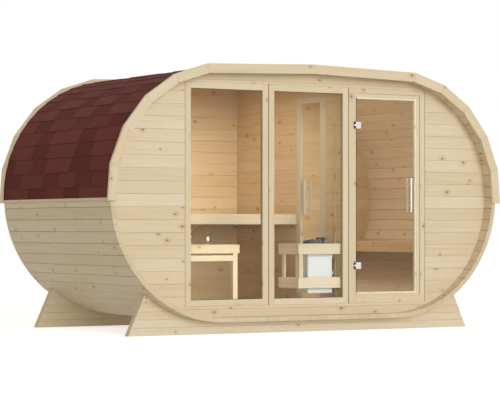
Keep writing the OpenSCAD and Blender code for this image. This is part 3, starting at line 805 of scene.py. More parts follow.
def dark_seal():
    def finish(tree):
        mottle = noise(tree, object_place(tree), 90.0, 2.0)
        darker, lighter = opaque((0.020, 0.018, 0.016)), opaque((0.035, 0.032, 0.030))
        return {
            "Base_Color": blend(tree, mottle, darker, lighter),
            "Roughness": calc(tree, "MULTIPLY_ADD", mottle, 0.2, 0.5)}

    return principled("Dark Seal", finish)


# Pieces


class SAUNA_OT_staves(bpy.types.Operator):
    """Body of tongued staves: a chamfered trapezoid for each, carried from front to back"""

    bl_idname = "sauna.staves"
    bl_label = "Staves"

    def stave(self, corners, across, name):
        size = setting("sauna_boards")
        loop = jointed(corners, size.stave_joint, size.slot, size.deep)
        solid = carried(loop, FRONT, BACK, ALONG_Y, size.edge)
        return wooden(solid, Y, across, *own_look(name))

    def quarter(self, side, first):
        """Staves over a quarter turn, from the angle first: the corners of each lie on the outer
        and the inner circle."""
        count = setting("sauna_boards").staves
        turn = 180 / count
        made = []
        for k in range(count // 2):
            low, high = first + k * turn, first + (k + 1) * turn
            corners = [end_point(side, radius, degrees) for radius, degrees in (
                (END_R, low), (END_R, high), (ROOM_R, high), (ROOM_R, low))]
            middle = math.radians((low + high) / 2)
            across = (-side * math.sin(middle), 0, math.cos(middle))
            made.append(self.stave(corners, across, f"stave {side} {first + k}"))
        return made

    def level(self, count, height, name):
        """Staves side by side from end to end, whose upper corners lie at height(x)."""
        edges = np.linspace(-END_X, END_X, count + 1)
        tops = height(edges)
        return [
            self.stave([(a, low - STAVE), (b, high - STAVE), (b, high), (a, low)], X,
                f"{name} stave {k}")
            for k, (a, b, low, high) in enumerate(zip(edges, edges[1:], tops, tops[1:]))]

    def execute(self, context):
        count = setting("sauna_boards").flat_staves
        pieces = {
            "bottom": self.level(count, lambda x: np.full(x.shape, BELLY + STAVE), "floor"),
            "top": self.level(count // 2 * 2, lambda x: top_height(x, END_R), "top"),
            "left_lower": self.quarter(-1, -90), "left_upper": self.quarter(-1, 0),
            "right_lower": self.quarter(1, -90), "right_upper": self.quarter(1, 0)}
        for name, parts in pieces.items():
            make("staves_" + name, parts, [spruce()], ["shell_" + name])
        return {"FINISHED"}


# Vents: their places from the partition and the floor, their radius, and half of the stretch of
# board that holds one
VENTS = ((-0.509, 0.614), (-0.313, 0.584))
VENT_R, VENT_REACH = 0.027, 0.036


class SAUNA_OT_walls(bpy.types.Operator):
    """End walls and partition of level boards with V joints"""

    bl_idname = "sauna.walls"
    bl_label = "Walls"

    def front(self):
        """Boards beside the frames, which end at the height where the outline meets the frames'
        side, and boards over and under the frames."""
        size = setting("sauna_boards")
        least_strip = 0.004
        walls = {}
        for name, left, right in (("left", -math.inf, ROW_LEFT), ("right", ROW_RIGHT, math.inf)):
            side = min(abs(left), abs(right)) - END_X
            reach = math.sqrt(ROOM_R**2 - side**2)
            spans = [
                (max(low, MID - reach), min(high, MID + reach))
                for low, high in rows(ROOM_LOW, ROOM_HIGH, size.line, size.pitch)]
            spans = [span for span in spans if span[1] - span[0] > least_strip]
            walls[name] = spans, left, right
        for name, low, high in (("top", FRAME_HIGH, ROOM_HIGH), ("bottom", ROOM_LOW, FRAME_LOW)):
            walls[name] = rows(low, high, size.line, size.pitch), ROW_LEFT, ROW_RIGHT
        for name, (spans, left, right) in walls.items():
            wall = "front_wall_" + name
            parts = level_boards(spans, (WALL_FACE, WALL_IN), left, right)
            make(wall + "_boards", parts, [spruce()], [wall])

    def back(self):
        """Boards from side to side. The row with the vents is cut at both sides of each. The
        faces that look out take the paler wood."""
        size = setting("sauna_boards")
        looks_out = 0.3
        faces = BOX["back_wall"][:, 1]
        spans = rows(ROOM_LOW, ROOM_HIGH, size.line, size.pitch)
        vents = [(BOX["partition_back"][0, 0] + x, FLOOR + z) for x, z in VENTS]
        holed = [span for span in spans if span[0] < vents[0][1] < span[1]]
        parts = level_boards([span for span in spans if span not in holed], faces)
        cuts = [x + reach for x, _ in vents for reach in (-VENT_REACH, VENT_REACH)]
        edges = [-math.inf, *cuts, math.inf]
        for left, right in zip(edges[::2], edges[1::2]):
            parts += level_boards(holed, faces, left, right)
        parts += [self.vent(x, z, holed[0], faces) for x, z in vents]
        wall = make("back_wall_boards", parts, [inner_spruce(), spruce()],
            ["back_wall"])
        normals = np.empty(3 * len(wall.data.polygons), np.float32)
        wall.data.polygons.foreach_get("normal", normals)
        outside = (normals.reshape(-1, 3)[:, 1] > looks_out).astype(np.int32)
        wall.data.polygons.foreach_set("material_index", outside)

    def vent(self, x, z, span, faces):
        """Stretch of a board with a round hole: rays from the hole's middle run from its circle
        to the board's edges, on the front and on the back face."""
        size = setting("sauna_boards")
        rays = 40
        down, up = span[0] + size.joint - z, span[1] - size.joint - z
        corners = [math.atan2(dz, dx) for dz in (down, up) for dx in (-VENT_REACH, VENT_REACH)]
        turns = np.linspace(-math.pi, math.pi, rays, endpoint=False)
        turn = np.unique(np.concatenate([turns, corners]))
        ray = np.column_stack([np.cos(turn), np.sin(turn)])
        limit = np.column_stack([np.full(len(ray), VENT_REACH),
            np.where(ray[:, 1] > 0, up, -down)])
        edge = ray * (limit / np.maximum(np.abs(ray), 1e-9)).min(1)[:, None]
        hole = VENT_R * ray
        front, back = faces
        points = np.concatenate([
            np.column_stack([x + ring[:, 0], np.full(len(ring), y), z + ring[:, 1]])
            for ring, y in ((edge, front), (hole, front), (hole, back), (edge, back))])
        look = row_look(z, size.line, size.pitch)
        return wooden(closed_tube(points, len(ray), True), X, Z, *look)

    def partition(self):
        size = setting("sauna_boards")
        faces = BOX["partition_back"][:, 0]
        top = top_height(faces[1], ROOM_R)
        for name in ("partition_back", "partition_front", "partition_over_door"):
            low, high = BOX[name]
            parts = []
            for a, b in rows(low[2], top, size.inner_line, size.pitch):
                solid = carried(wall_board(faces, a, b), low[1], high[1], ALONG_Y)
                look = row_look((a + b) / 2, size.inner_line, size.pitch)
                parts.append(wooden(solid, Y, Z, *look))
            if name == "partition_front":
                parts.append(self.batten(low, faces[0]))
            make(name + "_boards", parts, [inner_spruce()], [name])

    def batten(self, low, face):
        """Upright batten on the partition's left face, up to the head of the frames."""
        near, far = WALL_IN + 0.099, WALL_IN + 0.132
        return long_board((low[0], near, low[2]), (face, far, FRAME_HIGH), Z, "batten")

    def execute(self, context):
        self.front()
        self.back()
        self.partition()
        return {"FINISHED"}


# Thickness of the boards of the floor and of the benches
SLAT = 0.028


class SAUNA_OT_floor(bpy.types.Operator):
    """Floor boards on joists"""

    bl_idname = "sauna.floor"
    bl_label = "Floor"

    def execute(self, context):
        low, high = BOX["floor"]
        under = FLOOR - SLAT
        soft, joist, joists = 0.0015, 0.045, 5
        parts = []
        for a, b in rows(low[1], high[1], low[1], setting("sauna_boards").pitch):
            loop = dense(oblong((a, under), (b, FLOOR), soft), 0.01)
            reach = half_width(loop[:, 1], ROOM_R)
            solid = carried(loop, -reach, reach, ALONG_X)
            parts.append(wooden(solid, X, Y, *own_look(f"floor {a:.3f}")))
        for k, x in enumerate(np.linspace(-END_X + joist, END_X - joist, joists)):
            parts.append(long_board((x - joist / 2, low[1], low[2]),
                (x + joist / 2, high[1], under), Y, f"joist {k}"))
        make("floor_boards", parts, [inner_spruce()], ["floor"])
        return {"FINISHED"}


class SAUNA_OT_roof(bpy.types.Operator):
    """Shingles in courses, ridge caps, edge strips and the mitred fascia"""

    bl_idname = "sauna.roof"
    bl_label = "Roof"

    def on_roof(self, side, s, lift):
        """Points on the roof: s metres up from the lower edge, first upright, then round the
        end, then up the slope, and lift metres out along the normal."""
        turn = np.clip((s - ROOF_DROP) / END_R, 0, math.pi / 2)
        under = np.minimum(s - ROOF_DROP, 0)
        over = np.maximum(s - ROOF_DROP - ROOF_ARC, 0)
        sloping = s > ROOF_DROP + ROOF_ARC
        out_x = np.where(sloping, math.sin(SLOPE), np.cos(turn))
        out_z = np.where(sloping, math.cos(SLOPE), np.sin(turn))
        x = END_X + END_R * np.cos(turn) - over * math.cos(SLOPE) + lift * out_x
        z = MID + END_R * np.sin(turn) + over * math.sin(SLOPE) + under + lift * out_z
        return side * x, z

    def tab(self, side, low, high, near, far, lift):
        """One tab: a wedge in (s, lift), thick at its lower edge, carried along Y and bent on
        to the roof."""
        under_lift, top_lift = 0.0004, 0.0022
        steps = np.linspace(low, high, 5)
        under = np.column_stack([steps, np.full(5, under_lift)])
        rise = np.interp(steps, [low, high], [lift, top_lift])
        loop = np.concatenate([under, np.column_stack([steps, rise])[::-1]])
        y, s, lifts = carried(loop, near, far, ALONG_X)[0].T
        x, z = self.on_roof(side, s, lifts)
        return closed_tube(np.column_stack([x, y, z]), len(loop))

    def courses(self):
        """Raised and low tabs in turn along each course, of random width and tone. The low tabs
        take
        the dark grit: partly the shingles' own darker band, partly painted shade from the course
        above. The last tab of a course takes what would be left for a narrow one."""
        size = setting("sauna_roof")
        luck = chance("shingles")
        least_course, least_tab, spread = 0.03, 0.1, 0.0006
        parts = []
        for side in (-1, 1):
            lows = [0.0, *np.arange(size.first, ROOF_LENGTH, size.course)]
            for low, above in zip(lows, [*lows[1:], ROOF_LENGTH]):
                high = min(above + size.cover, ROOF_LENGTH - CLEAR)
                if high - low < least_course:
                    continue
                near = FRONT + CLEAR
                raised = luck.uniform() < 0.5
                while near < BACK - 2 * CLEAR:
                    widths = (1.5 * size.narrow, size.wide) if raised else (
                        size.narrow, 0.7 * size.wide)
                    far = near + luck.uniform(*widths)
                    if far > BACK - least_tab:
                        far = BACK - CLEAR
                    lift = size.high_lift if raised else size.low_lift
                    lift -= luck.uniform(0, spread)
                    # Low tabs take a dark tone: their own darker band plus painted shade from the
                    # course above
                    tone = luck.uniform(0.55, 1.0) if raised else luck.uniform(0.0, 0.38)
                    parts.append(plain(self.tab(side, low, high, near, far, lift), tone))
                    near, raised = far, not raised
        return parts

    def caps(self):
        """Ridge caps: each a bent sheet over the ridge, its front edge lying on the last one."""
        size = setting("sauna_roof")
        luck = chance("caps")
        step, lap, sheet = 0.145, 0.03, 0.0024
        near_lift, far_lift = 0.0086, 0.0062
        across = np.linspace(-size.cap, size.cap, 9)
        falls = top_height(across, END_R)
        parts = []
        for k in range(math.ceil((BACK - FRONT) / step)):
            near = FRONT + CLEAR + k * step
            far = min(near + step + lap, BACK - CLEAR)
            rings = []
            for y, lift in ((near, near_lift), (far, far_lift)):
                top = np.column_stack([across, np.full(len(across), y), falls + lift])
                rings += [top, (top - sheet * Z)[::-1]]
            solid = closed_tube(np.concatenate(rings), 2 * len(across))
            parts.append(plain(solid, luck.uniform(0.3, 0.8)))
        return parts

    def strips(self):
        low, high = BOX["roof_edge_strips"]
        reach = END_X + END_R
        parts = [
            long_board((side * reach, FRONT, low[2]), (side * high[0], BACK, high[2]), Y,
                f"strip {side}") for side in (-1, 1)]
        make("roof_edge_boards", parts, [spruce()], ["roof_edge_strips"])

    def fascia(self, name):
        """Boards between neighbouring mitres. The corners come from the solid's own outline:
        those outside the staves are its outer edge, and each edge is sorted by its angle."""
        mesh = frame["nodes"][name].data
        co = np.zeros(len(mesh.vertices) * 3, np.float32)
        mesh.vertices.foreach_get("co", co)
        points = np.unique(np.round(co.reshape(-1, 3)[:, [0, 2]].astype(float), 5), axis=0)
        from_core = np.hypot(np.maximum(np.abs(points[:, 0]) - END_X, 0), points[:, 1] - MID)
        edges = []
        for chosen in (from_core > END_R + CLEAR, from_core < END_R):
            edge = points[chosen]
            edges.append(edge[np.argsort(-np.arctan2(edge[:, 0], edge[:, 1] - MID))])
        draw, gap = 0.0016, 0.0004
        parts = []
        for k, (a, b, c, d) in enumerate(zip(edges[0], edges[0][1:], edges[1][1:], edges[1])):
            run = unit(b - a)
            corners = np.array([a, b, c, d]) + gap * np.array([run, -run, -run, run])
            solid = carried(chamfered(corners, draw), *BOX[name][:, 1], ALONG_Y, draw)
            grain, across = (run[0], 0, run[1]), (-run[1], 0, run[0])
            parts.append(wooden(solid, grain, across, *own_look(f"{name} {k}")))
        make(name + "_boards", parts, [spruce()], [name])

    def execute(self, context):
        parts = self.courses() + self.caps()
        make("shingles", parts, [shingle_grit()], ["roof_shingles"])
        self.strips()
        self.fascia("fascia_front")
        self.fascia("fascia_back")
        return {"FINISHED"}


class SAUNA_OT_glazing(bpy.types.Operator):
    """Window frames, glass, gap strips and the door frame with its rebate"""

    bl_idname = "sauna.glazing"
    bl_label = "Glazing"

    def window(self, place):
        """A frame whose boards hold the glass by its edge, and a dark bead round the glass."""
        hold, bead, thick, soft = 0.010, 0.003, 0.0035, 0.0006
        name = "window_frame_" + place
        (x0, y0, z0), (x1, y1, z1) = BOX[name]
        glass = BOX["window_glass_" + place]
        stile = glass[0, 0] - x0 + hold
        inner = ((x0 + stile, z0 + stile), (x1 - stile, z1 - stile))
        (a0, b0), (a1, b1) = inner
        parts = ring_of_boards(((x0, z0), (x1, z1)), inner, (y0, y1), "window " + place)
        make(name + "_boards", parts, [spruce()], [name])
        near, far = glass[0, 1] - thick, glass[0, 1]
        parts = [plain(block((u0, near, w0), (u1, far, w1), soft, run))
            for u0, w0, u1, w1, run in (
                (a0, b0, a0 + bead, b1, Z), (a1 - bead, b0, a1, b1, Z),
                (a0 + bead, b0, a1 - bead, b0 + bead, X),
                (a0 + bead, b1 - bead, a1 - bead, b1, X))]
        make("window_seal_" + place, parts, [dark_seal()])

    def door_frame(self):
        """Two rings: the stop, which the leaf laps, and the casing round the leaf before it."""
        gap, lap = 0.005, 0.016
        sill, lock_side, head = 0.013, 0.037, 0.032
        (x0, y0, z0), (x1, y1, z1) = BOX["door_frame"]
        (a0, _, b0), (a1, leaf_back, b1) = BOX["door_glass"]
        outer = ((x0, z0), (x1, z1))
        face = ((a0 - gap, b0 - sill), (a1 + lock_side, b1 + head))
        clear = ((a0 + gap, b0 + lap), (a1 - lap, b1 - lap))
        stop = leaf_back + gap
        parts = ring_of_boards(outer, clear, (stop, y1), "door stop")
        parts += ring_of_boards(outer, face, (y0, stop), "door casing")
        make("door_frame_boards", parts, [spruce()], ["door_frame"])

    def painted_shade_gap_strips(self):
        """Strips that close the gaps between the frames, set back from their faces. They take the
        darker inner wood as painted shade in the gaps.
        """
        edges = [ROW_LEFT]
        for name in ("window_frame_left", "window_frame_middle", "door_frame"):
            edges += list(BOX[name][:, 0])
        edges.append(ROW_RIGHT)
        near, far = BOX["frame_strips"][:, 1]
        parts = [
            long_board((a, near, FRAME_LOW), (b, far, FRAME_HIGH), Z, f"gap {k}", 0.0)
            for k, (a, b) in enumerate(zip(edges[::2], edges[1::2]))]
        # The darker inner wood here is painted shade of the recessed gaps, not another timber
        make("painted_shade_gap_strips", parts, [inner_spruce()], ["frame_strips"])

    def execute(self, context):
        self.window("left")
        self.window("middle")
        self.door_frame()
        self.painted_shade_gap_strips()
        for name in ("window_glass_left", "window_glass_middle", "door_glass",
                "inner_door_glass"):
            mesh = frame["nodes"][name].data
            mesh.materials.clear()
            mesh.materials.append(clear_glass())
        return {"FINISHED"}


# Hinges: height, radius of the knuckles, radius of the pin, small chamfer, and the heights of
# the moving knuckle and of one fixed one
HINGE_TALL, KNUCKLE, PIN, HINGE_EDGE = 0.060, 0.0085, 0.004, 0.0008
MOVING_TALL, FIXED_TALL = 0.015, 0.022


class SAUNA_OT_doors(bpy.types.Operator):
    """Inner door frame, hinges, screws and handle bars"""

    bl_idname = "sauna.doors"
    bl_label = "Doors"

    def inner_frame(self):
        """Posts and head in two layers: the stop on the left, and the rebate's sides on the
        right, round the leaf."""
        gap = 0.005
        near_lap, far_lap, head_lap = 0.098, 0.060, 0.050
        (x0, y0, z0), (x1, y1, z1) = BOX["inner_door_frame"]
        (leaf_x, leaf_near, _), (_, leaf_far, leaf_top) = BOX["inner_door_glass"]
        step = leaf_x - gap
        layers = {
            "stop": (x0, step, y0 + near_lap, y1 - far_lap, z1 - head_lap),
            "casing": (step, x1, leaf_near - gap, leaf_far + gap, leaf_top + gap)}
        parts = []
        for name, (a, b, near, far, head) in layers.items():
            parts.append(long_board((a, y0, z0), (b, near, z1), Z, "near " + name))
            parts.append(long_board((a, far, z0), (b, y1, z1), Z, "far " + name))
            parts.append(long_board((a, near, head), (b, far, z1), Y, "head " + name))
        make("inner_door_posts", parts, [bench_wood()], ["inner_door_frame"])

    def screw(self, place, out, side):
        """Pan head: a flat dome with a small socket ring."""
        profile = [(0.0038, 0.0), (0.0038, 0.0009), (0.0030, 0.0016), (0.0014, 0.0018),
            (0.0012, 0.0011), (0.0002, 0.0011)]
        return plain(turned(profile, place, out, side, 16))

    def hinges(self, body, moving, fixed, reach, out):
        """Two hinges of a leaf. Reach runs from the pin over the glass, and out from the glass
        to the side of the plates. On the leaf: a knuckle with a neck, a plate with two screws,
        and a pad on the glass. On the frame: two knuckles with ears, and the pin. Places count
        from the pin's middle: along reach, and as depths towards the glass, against out."""
        plate_face, plate_back, glass = 0.002, 0.007, 0.010
        neck_end, plate_start, pad_start, screw_at, screw_rise = 0.011, 0.010, 0.0213, 0.044, 0.017
        sink, play = 0.0002, 0.0005
        half = HINGE_TALL / 2
        gap = MOVING_TALL / 2 + play
        low, high = BOX[fixed][:, 2]
        plate_end = abs((BOX[moving][1] - BOX[moving][0]) @ reach) - KNUCKLE
        face = abs((BOX[fixed][1] - BOX[fixed][0]) @ out) - KNUCKLE
        moved, still = [], []
        for z in (low + half, high - half):
            at = np.array([*HINGE[body][:2], z])

            def slab(bottom, top, start, end, near, far, size=HINGE_EDGE):
                loop = oblong((start, -far), (end, -near), size)
                return plain(carried(loop, bottom, top, (Z, reach, out), size, at))

            def rod(radius, tall, bottom, edge=HINGE_EDGE, count=32):
                profile = rounded_rod(radius, tall, edge, 2)
                return plain(turned(profile, at + bottom * Z, Z, X, count))

            neck = MOVING_TALL / 2 - sink / 2
            moved.append(rod(KNUCKLE, MOVING_TALL, -MOVING_TALL / 2))
            moved.append(slab(-neck, neck, 0.0, neck_end, plate_face, plate_back))
            moved.append(slab(-half, half, plate_start, plate_end, plate_face, plate_back))
            moved.append(slab(-half, half, pad_start, plate_end, plate_back - sink, glass, sink))
            for rise in (-screw_rise, screw_rise):
                spot = at + screw_at * reach - plate_face * out + rise * Z
                moved.append(self.screw(spot, out, Z))
            for bottom in (gap, -gap - FIXED_TALL):
                still.append(rod(KNUCKLE, FIXED_TALL, bottom))
                still.append(slab(bottom + play, bottom + FIXED_TALL - play, -KNUCKLE, KNUCKLE,
                    0.0, face))
            still.append(rod(PIN, HINGE_TALL + 6 * play, -half - 3 * play, 2 * play, 20))
        make(moving + "_plates", moved, [satin_steel()], [moving], body, True)
        make(fixed + "_ears", still, [dark_steel()], [fixed], "root", True)

    def bar(self, name, body, out, radius, finish, slot):
        """Upright bar with rounded ends on two posts: each post is a waisted pillar with a
        collar on the glass."""
        post, inset, collar = 0.006, 0.050, 0.0035
        low, high = BOX[name]
        middle = (low + high) / 2
        foot = low if out.sum() > 0 else high
        glass = middle + out * ((foot - middle) @ out)
        stand = (high - low) @ np.abs(out) - radius
        end = 0.003 if radius < 0.01 else 0.005
        side = np.abs(np.cross(out, Z))
        rod = rounded_rod(radius, high[2] - low[2], end, 5)
        base = glass + stand * out
        parts = [turned(rod, (*base[:2], low[2]), Z, side)]
        pillar = [(post * 1.5, 0.0), (post * 1.5, collar - 0.0015),
            (post * 1.35, collar - 0.0005), (post, collar), (post, stand - radius * 0.4)]
        for z in (low[2] + inset, high[2] - inset):
            parts.append(turned(pillar, (*glass[:2], z), out, Z, 24))
        grained = [wooden(part, Z, side, 0.6) for part in parts]
        make(name + "_bar", grained, [finish], [name], body, True)

    def execute(self, context):
        self.inner_frame()
        self.hinges("front_door", "door_hinges", "door_hinge_brackets", X, -Y)
        self.hinges("inner_door", "inner_door_hinges", "inner_door_brackets", Y, X)
        metal = (0.009, satin_steel(), "satin_steel")
        timber = (0.012, bench_wood(), "bench_wood")
        self.bar("door_handle", "front_door", -Y, *metal)
        self.bar("door_inner_pull", "front_door", Y, *timber)
        self.bar("inner_door_handle", "inner_door", X, *metal)
        self.bar("inner_door_pull", "inner_door", -X, *timber)
        return {"FINISHED"}


# Benches: thickness of the fascia, width of a bearer or a leg, and the slats' pitch and gap
BENCH_FASCIA, BEARER = 0.025, 0.048
SLAT_PITCH, SLAT_GAP = 0.134, 0.015


class SAUNA_OT_benches(bpy.types.Operator):
    """Benches of rounded boards on bearers and legs"""

    bl_idname = "sauna.benches"
    bl_label = "Benches"

    def across_room(self, low, high, end, name):
        """A board along X from the curved left side of the room to end."""
        soft = setting("sauna_boards").round_edge
        loop = dense(oblong(low, high, min(soft, (high[1] - low[1]) / 4)), 0.02)
        start = -half_width(loop[:, 1], ROOM_R) + CLEAR
        across = Z if high[1] - low[1] > high[0] - low[0] else Y
        return wooden(carried(loop, start, end, ALONG_X, CLEAR), X, across, *own_look(name))

    def slats(self, near, far):
        """Starts and ends of the slats between near and far, with even gaps between them."""
        count = round((far - near) / SLAT_PITCH)
        step = (far - near + SLAT_GAP) / count
        return [(near + k * step, near + (k + 1) * step - SLAT_GAP) for k in range(count)]

    def left(self, kind, fascia_low, bearers):
        """A bench of the left room: fascia, slats, and bearers that start at those places."""
        (_, y0, _), (x1, y1, z1) = BOX[kind + "_bench"]
        behind = y0 + BENCH_FASCIA
        parts = [self.across_room((y0, fascia_low), (behind, z1), x1, kind + " fascia")]
        for k, (near, far) in enumerate(self.slats(behind + SLAT_GAP, y1)):
            parts.append(self.across_room((near, z1 - SLAT), (far, z1), x1, f"{kind} slat {k}"))
        for k, x in enumerate(bearers):
            parts.append(long_board((x, behind, fascia_low), (x + BEARER, y1, z1 - SLAT), Y,
                f"{kind} bearer {k}"))
        return parts

    def upper(self):
        z0, x1 = BOX["upper_bench"][0, 2], BOX["upper_bench"][1, 0]
        first = -END_X - 0.7
        parts = self.left("upper", z0, (first, (first + x1) / 2, x1 - BEARER))
        make("upper_bench_boards", parts, [bench_wood()], ["upper_bench"])

    def lower(self):
        """The lower bench, with a low rail before its right leg, and its two legs."""
        rail_back, rail_tall = 0.020, 0.052
        (x0, leg_near, leg_low), (x1, leg_far, leg_top) = BOX["lower_bench_legs"]
        y0, z0 = BOX["lower_bench"][0, 1:]
        right = x1 - BEARER
        parts = self.left("lower", leg_top, (x0, right))
        behind = y0 + BENCH_FASCIA
        parts.append(self.across_room((behind - rail_back, z0), (behind, z0 + rail_tall), right,
            "lower rail"))
        make("lower_bench_boards", parts, [bench_wood()], ["lower_bench"])
        soft = setting("sauna_boards").round_edge
        parts = [
            long_board((x, y, leg_low), (x + BEARER, y + BEARER, leg_top), Z, name, soft)
            for x, y, name in ((right, leg_near, "right leg"), (x0, leg_far - BEARER, "left leg"))]
        make("lower_bench_posts", parts, [bench_wood()], ["lower_bench_legs"])

    def right(self):
        """The bench of the right room: its slats run from front to back, and the last one ends
        at the curved wall."""
        (x0, y0, z0), (_, y1, z1) = BOX["right_bench"]
        soft = setting("sauna_boards").round_edge
        behind, under = x0 + BENCH_FASCIA, z1 - SLAT
        wall_top, wall_under, wall_low = half_width([z1, under, z0], ROOM_R)
        parts = [long_board((x0, y0, z0), (behind, y1, z1), Y, "right fascia", soft)]
        for k, (start, end) in enumerate(self.slats(behind + SLAT_GAP, wall_top)):
            end = min(end, wall_under - CLEAR)
            parts.append(long_board((start, y0, under), (end, y1, z1), Y, f"right slat {k}",
                soft))
        for k, y in enumerate((y0, -BEARER / 2, y1 - BEARER)):
            parts.append(long_board((behind, y, z0), (wall_low - 2 * CLEAR, y + BEARER, under), X,
                f"right bearer {k}"))
        make("right_bench_boards", parts, [inner_spruce()], ["right_bench"])

    def execute(self, context):
        self.upper()
        self.lower()
        self.right()
        return {"FINISHED"}


class SAUNA_OT_heater(bpy.types.Operator):
    """Heater with its stones, its wooden guard and the vent slide"""

    bl_idname = "sauna.heater"
    bl_label = "Heater"

    def casing(self):
        """Casing with rounded corners, four thin walls round the stones with a dark rim, and two
        rails to the partition."""
        stand, sheet, corner = 0.060, 0.012, 0.010
        tray, rim = 0.110, 0.016
        rail_near, rail_far, rail_tall, rails = 0.137, 0.015, 0.034, (0.164, 0.313)
        white, dark = 0, 1
        (x0, y0, z0), (wall, y1, z1) = BOX["heater"]
        x1 = wall - stand
        outline = chamfered(oblong((x0, y0), (x1, y1), corner), corner / 3)
        parts = [plain(carried(outline, z0, z1 - tray, ALONG_Z, 0.004), slot=white)]
        for low, high in (((x0, y0), (x1, y0 + sheet)), ((x0, y1 - sheet), (x1, y1)),
                ((x0, y0 + sheet), (x0 + sheet, y1 - sheet)),
                ((x1 - sheet, y0 + sheet), (x1, y1 - sheet))):
            loop = oblong(low, high, 0.003)
            parts.append(plain(carried(loop, z1 - tray, z1 - rim, ALONG_Z), slot=white))
            parts.append(plain(carried(loop, z1 - rim, z1, ALONG_Z, 0.002), slot=dark))
        for rise in rails:
            low, high = (x1, WALL_IN + rail_near, z0 + rise), (wall, y1 - rail_far, z0 + rise)
            parts.append(plain(block(low, high + rail_tall * Z, 0.002, X), slot=white))
        make("heater_casing", parts, [enamel(), dark_steel()], ["heater"])

    def stone(self, centre, radius, luck):
        """A rounded lump: rings of a ball, each point pushed out by a few waves of random
        direction, then stretched and turned."""
        turns, rings, pole = 9, 6, 0.16
        lean = np.linspace(pole, math.pi - pole, rings)
        turn = np.linspace(0, 2 * math.pi, turns, endpoint=False)
        ball = np.stack([np.outer(np.sin(lean), np.cos(turn)), np.outer(np.sin(lean),
            np.sin(turn)), np.outer(np.cos(lean), np.ones(turns))], 2).reshape(-1, 3)
        waves = luck.normal(size=(5, 3)) * 1.6
        bumps = np.sin(ball @ waves.T + luck.uniform(0, 6, 5)).sum(1)
        stretch = luck.uniform(0.72, 1.25, 3)
        spin = np.linalg.qr(luck.normal(size=(3, 3)))[0]
        points = centre + (ball * (radius * (1 + 0.075 * bumps))[:, None] * stretch) @ spin
        return closed_tube(points, turns)

    def stones(self):
        """Stones on a loose grid, under a heap that rises towards the partition."""
        size = setting("sauna_heater")
        luck = np.random.default_rng(size.seed)
        low, high = BOX["heater_stones"]
        rim = BOX["heater"][1, 2]
        depth, layer, spacing, inset, stray = 0.075, 0.030, 0.036, 0.020, 0.008
        heap_low, heap_rise = -0.004, 0.054
        parts = []
        for z in np.arange(rim - depth, high[2] + layer, layer):
            for x in np.arange(low[0] + inset, high[0] - inset / 2, spacing):
                for y in np.arange(low[1] + inset, high[1] - inset / 2, spacing):
                    share = (x - low[0]) / (high[0] - low[0])
                    heap = rim + heap_low + heap_rise * math.sin(math.pi / 2 * share)
                    at = np.array([x, y, z]) + luck.uniform(-stray, stray, 3)
                    radius = size.stone * luck.uniform(0.78, 1.15)
                    if at[2] > heap:
                        continue
                    at = np.clip(at, low + radius * 0.9, high - radius * 0.9)
                    tone = luck.uniform(-0.1, 0.5) + (0.5 if luck.uniform() < 0.15 else 0.0)
                    parts.append(plain(self.stone(at, radius, luck), tone))
        make("stones", parts, [rough_stone()], ["heater_stones"], smooth=True)

    def guard(self):
        """Front: two rails on the outer side of one post. Side: two rails and two posts."""
        rail, thick, post = 0.096, 0.018, 0.042
        far_inset, near_inset = 0.030, 0.021
        soft = 0.0022
        (x0, y0, z0), (x1, y1, z1) = BOX["guard_front"]
        x = x0 + thick + CLEAR
        parts = [
            long_board((x0, y0, z), (x1, y0 + thick, z + rail), X, f"guard rail {k}", soft)
            for k, z in enumerate((z0, z1 - rail))]
        parts.append(long_board((x, y0 + thick, z0), (x + post, y1, z1), Z, "guard post", soft))
        make("guard_front_boards", parts, [bench_wood()], ["guard_front"])
        (x0, y0, z0), (x1, y1, z1) = BOX["guard_side"]
        behind = x0 + thick
        parts = [
            long_board((x0, y0, z), (behind, y1, z + rail), Y, f"guard side rail {k}", soft)
            for k, z in enumerate((z0, z1 - rail))]
        parts += [
            long_board((behind, y, z0), (x1, y + post, z1), Z, f"guard side post {k}", soft)
            for k, y in enumerate((y1 - far_inset - post, y0 + near_inset))]
        make("guard_side_boards", parts, [bench_wood()], ["guard_side"])

    def slide(self):
        """Vent slide: a tilted board with cut edges."""
        tilt = math.radians(33)
        half_thick, half_wide, half_long = 0.006, 0.030, 0.095
        run = np.array([math.cos(tilt), 0, math.sin(tilt)])
        across = np.array([-math.sin(tilt), 0, math.cos(tilt)])
        loop = oblong((-half_thick, -half_wide), (half_thick, half_wide), 0.002)
        centre = BOX["vent_slide"].mean(0)
        solid = carried(loop, -half_long, half_long, (run, Y, across), 0.0015, centre)
        parts = [wooden(solid, run, across, 0.35, (3.1, 1.7))]
        make("vent_slide_board", parts, [inner_spruce()], ["vent_slide"])

    def execute(self, context):
        self.casing()
        self.stones()
        self.guard()
        self.slide()
        return {"FINISHED"}


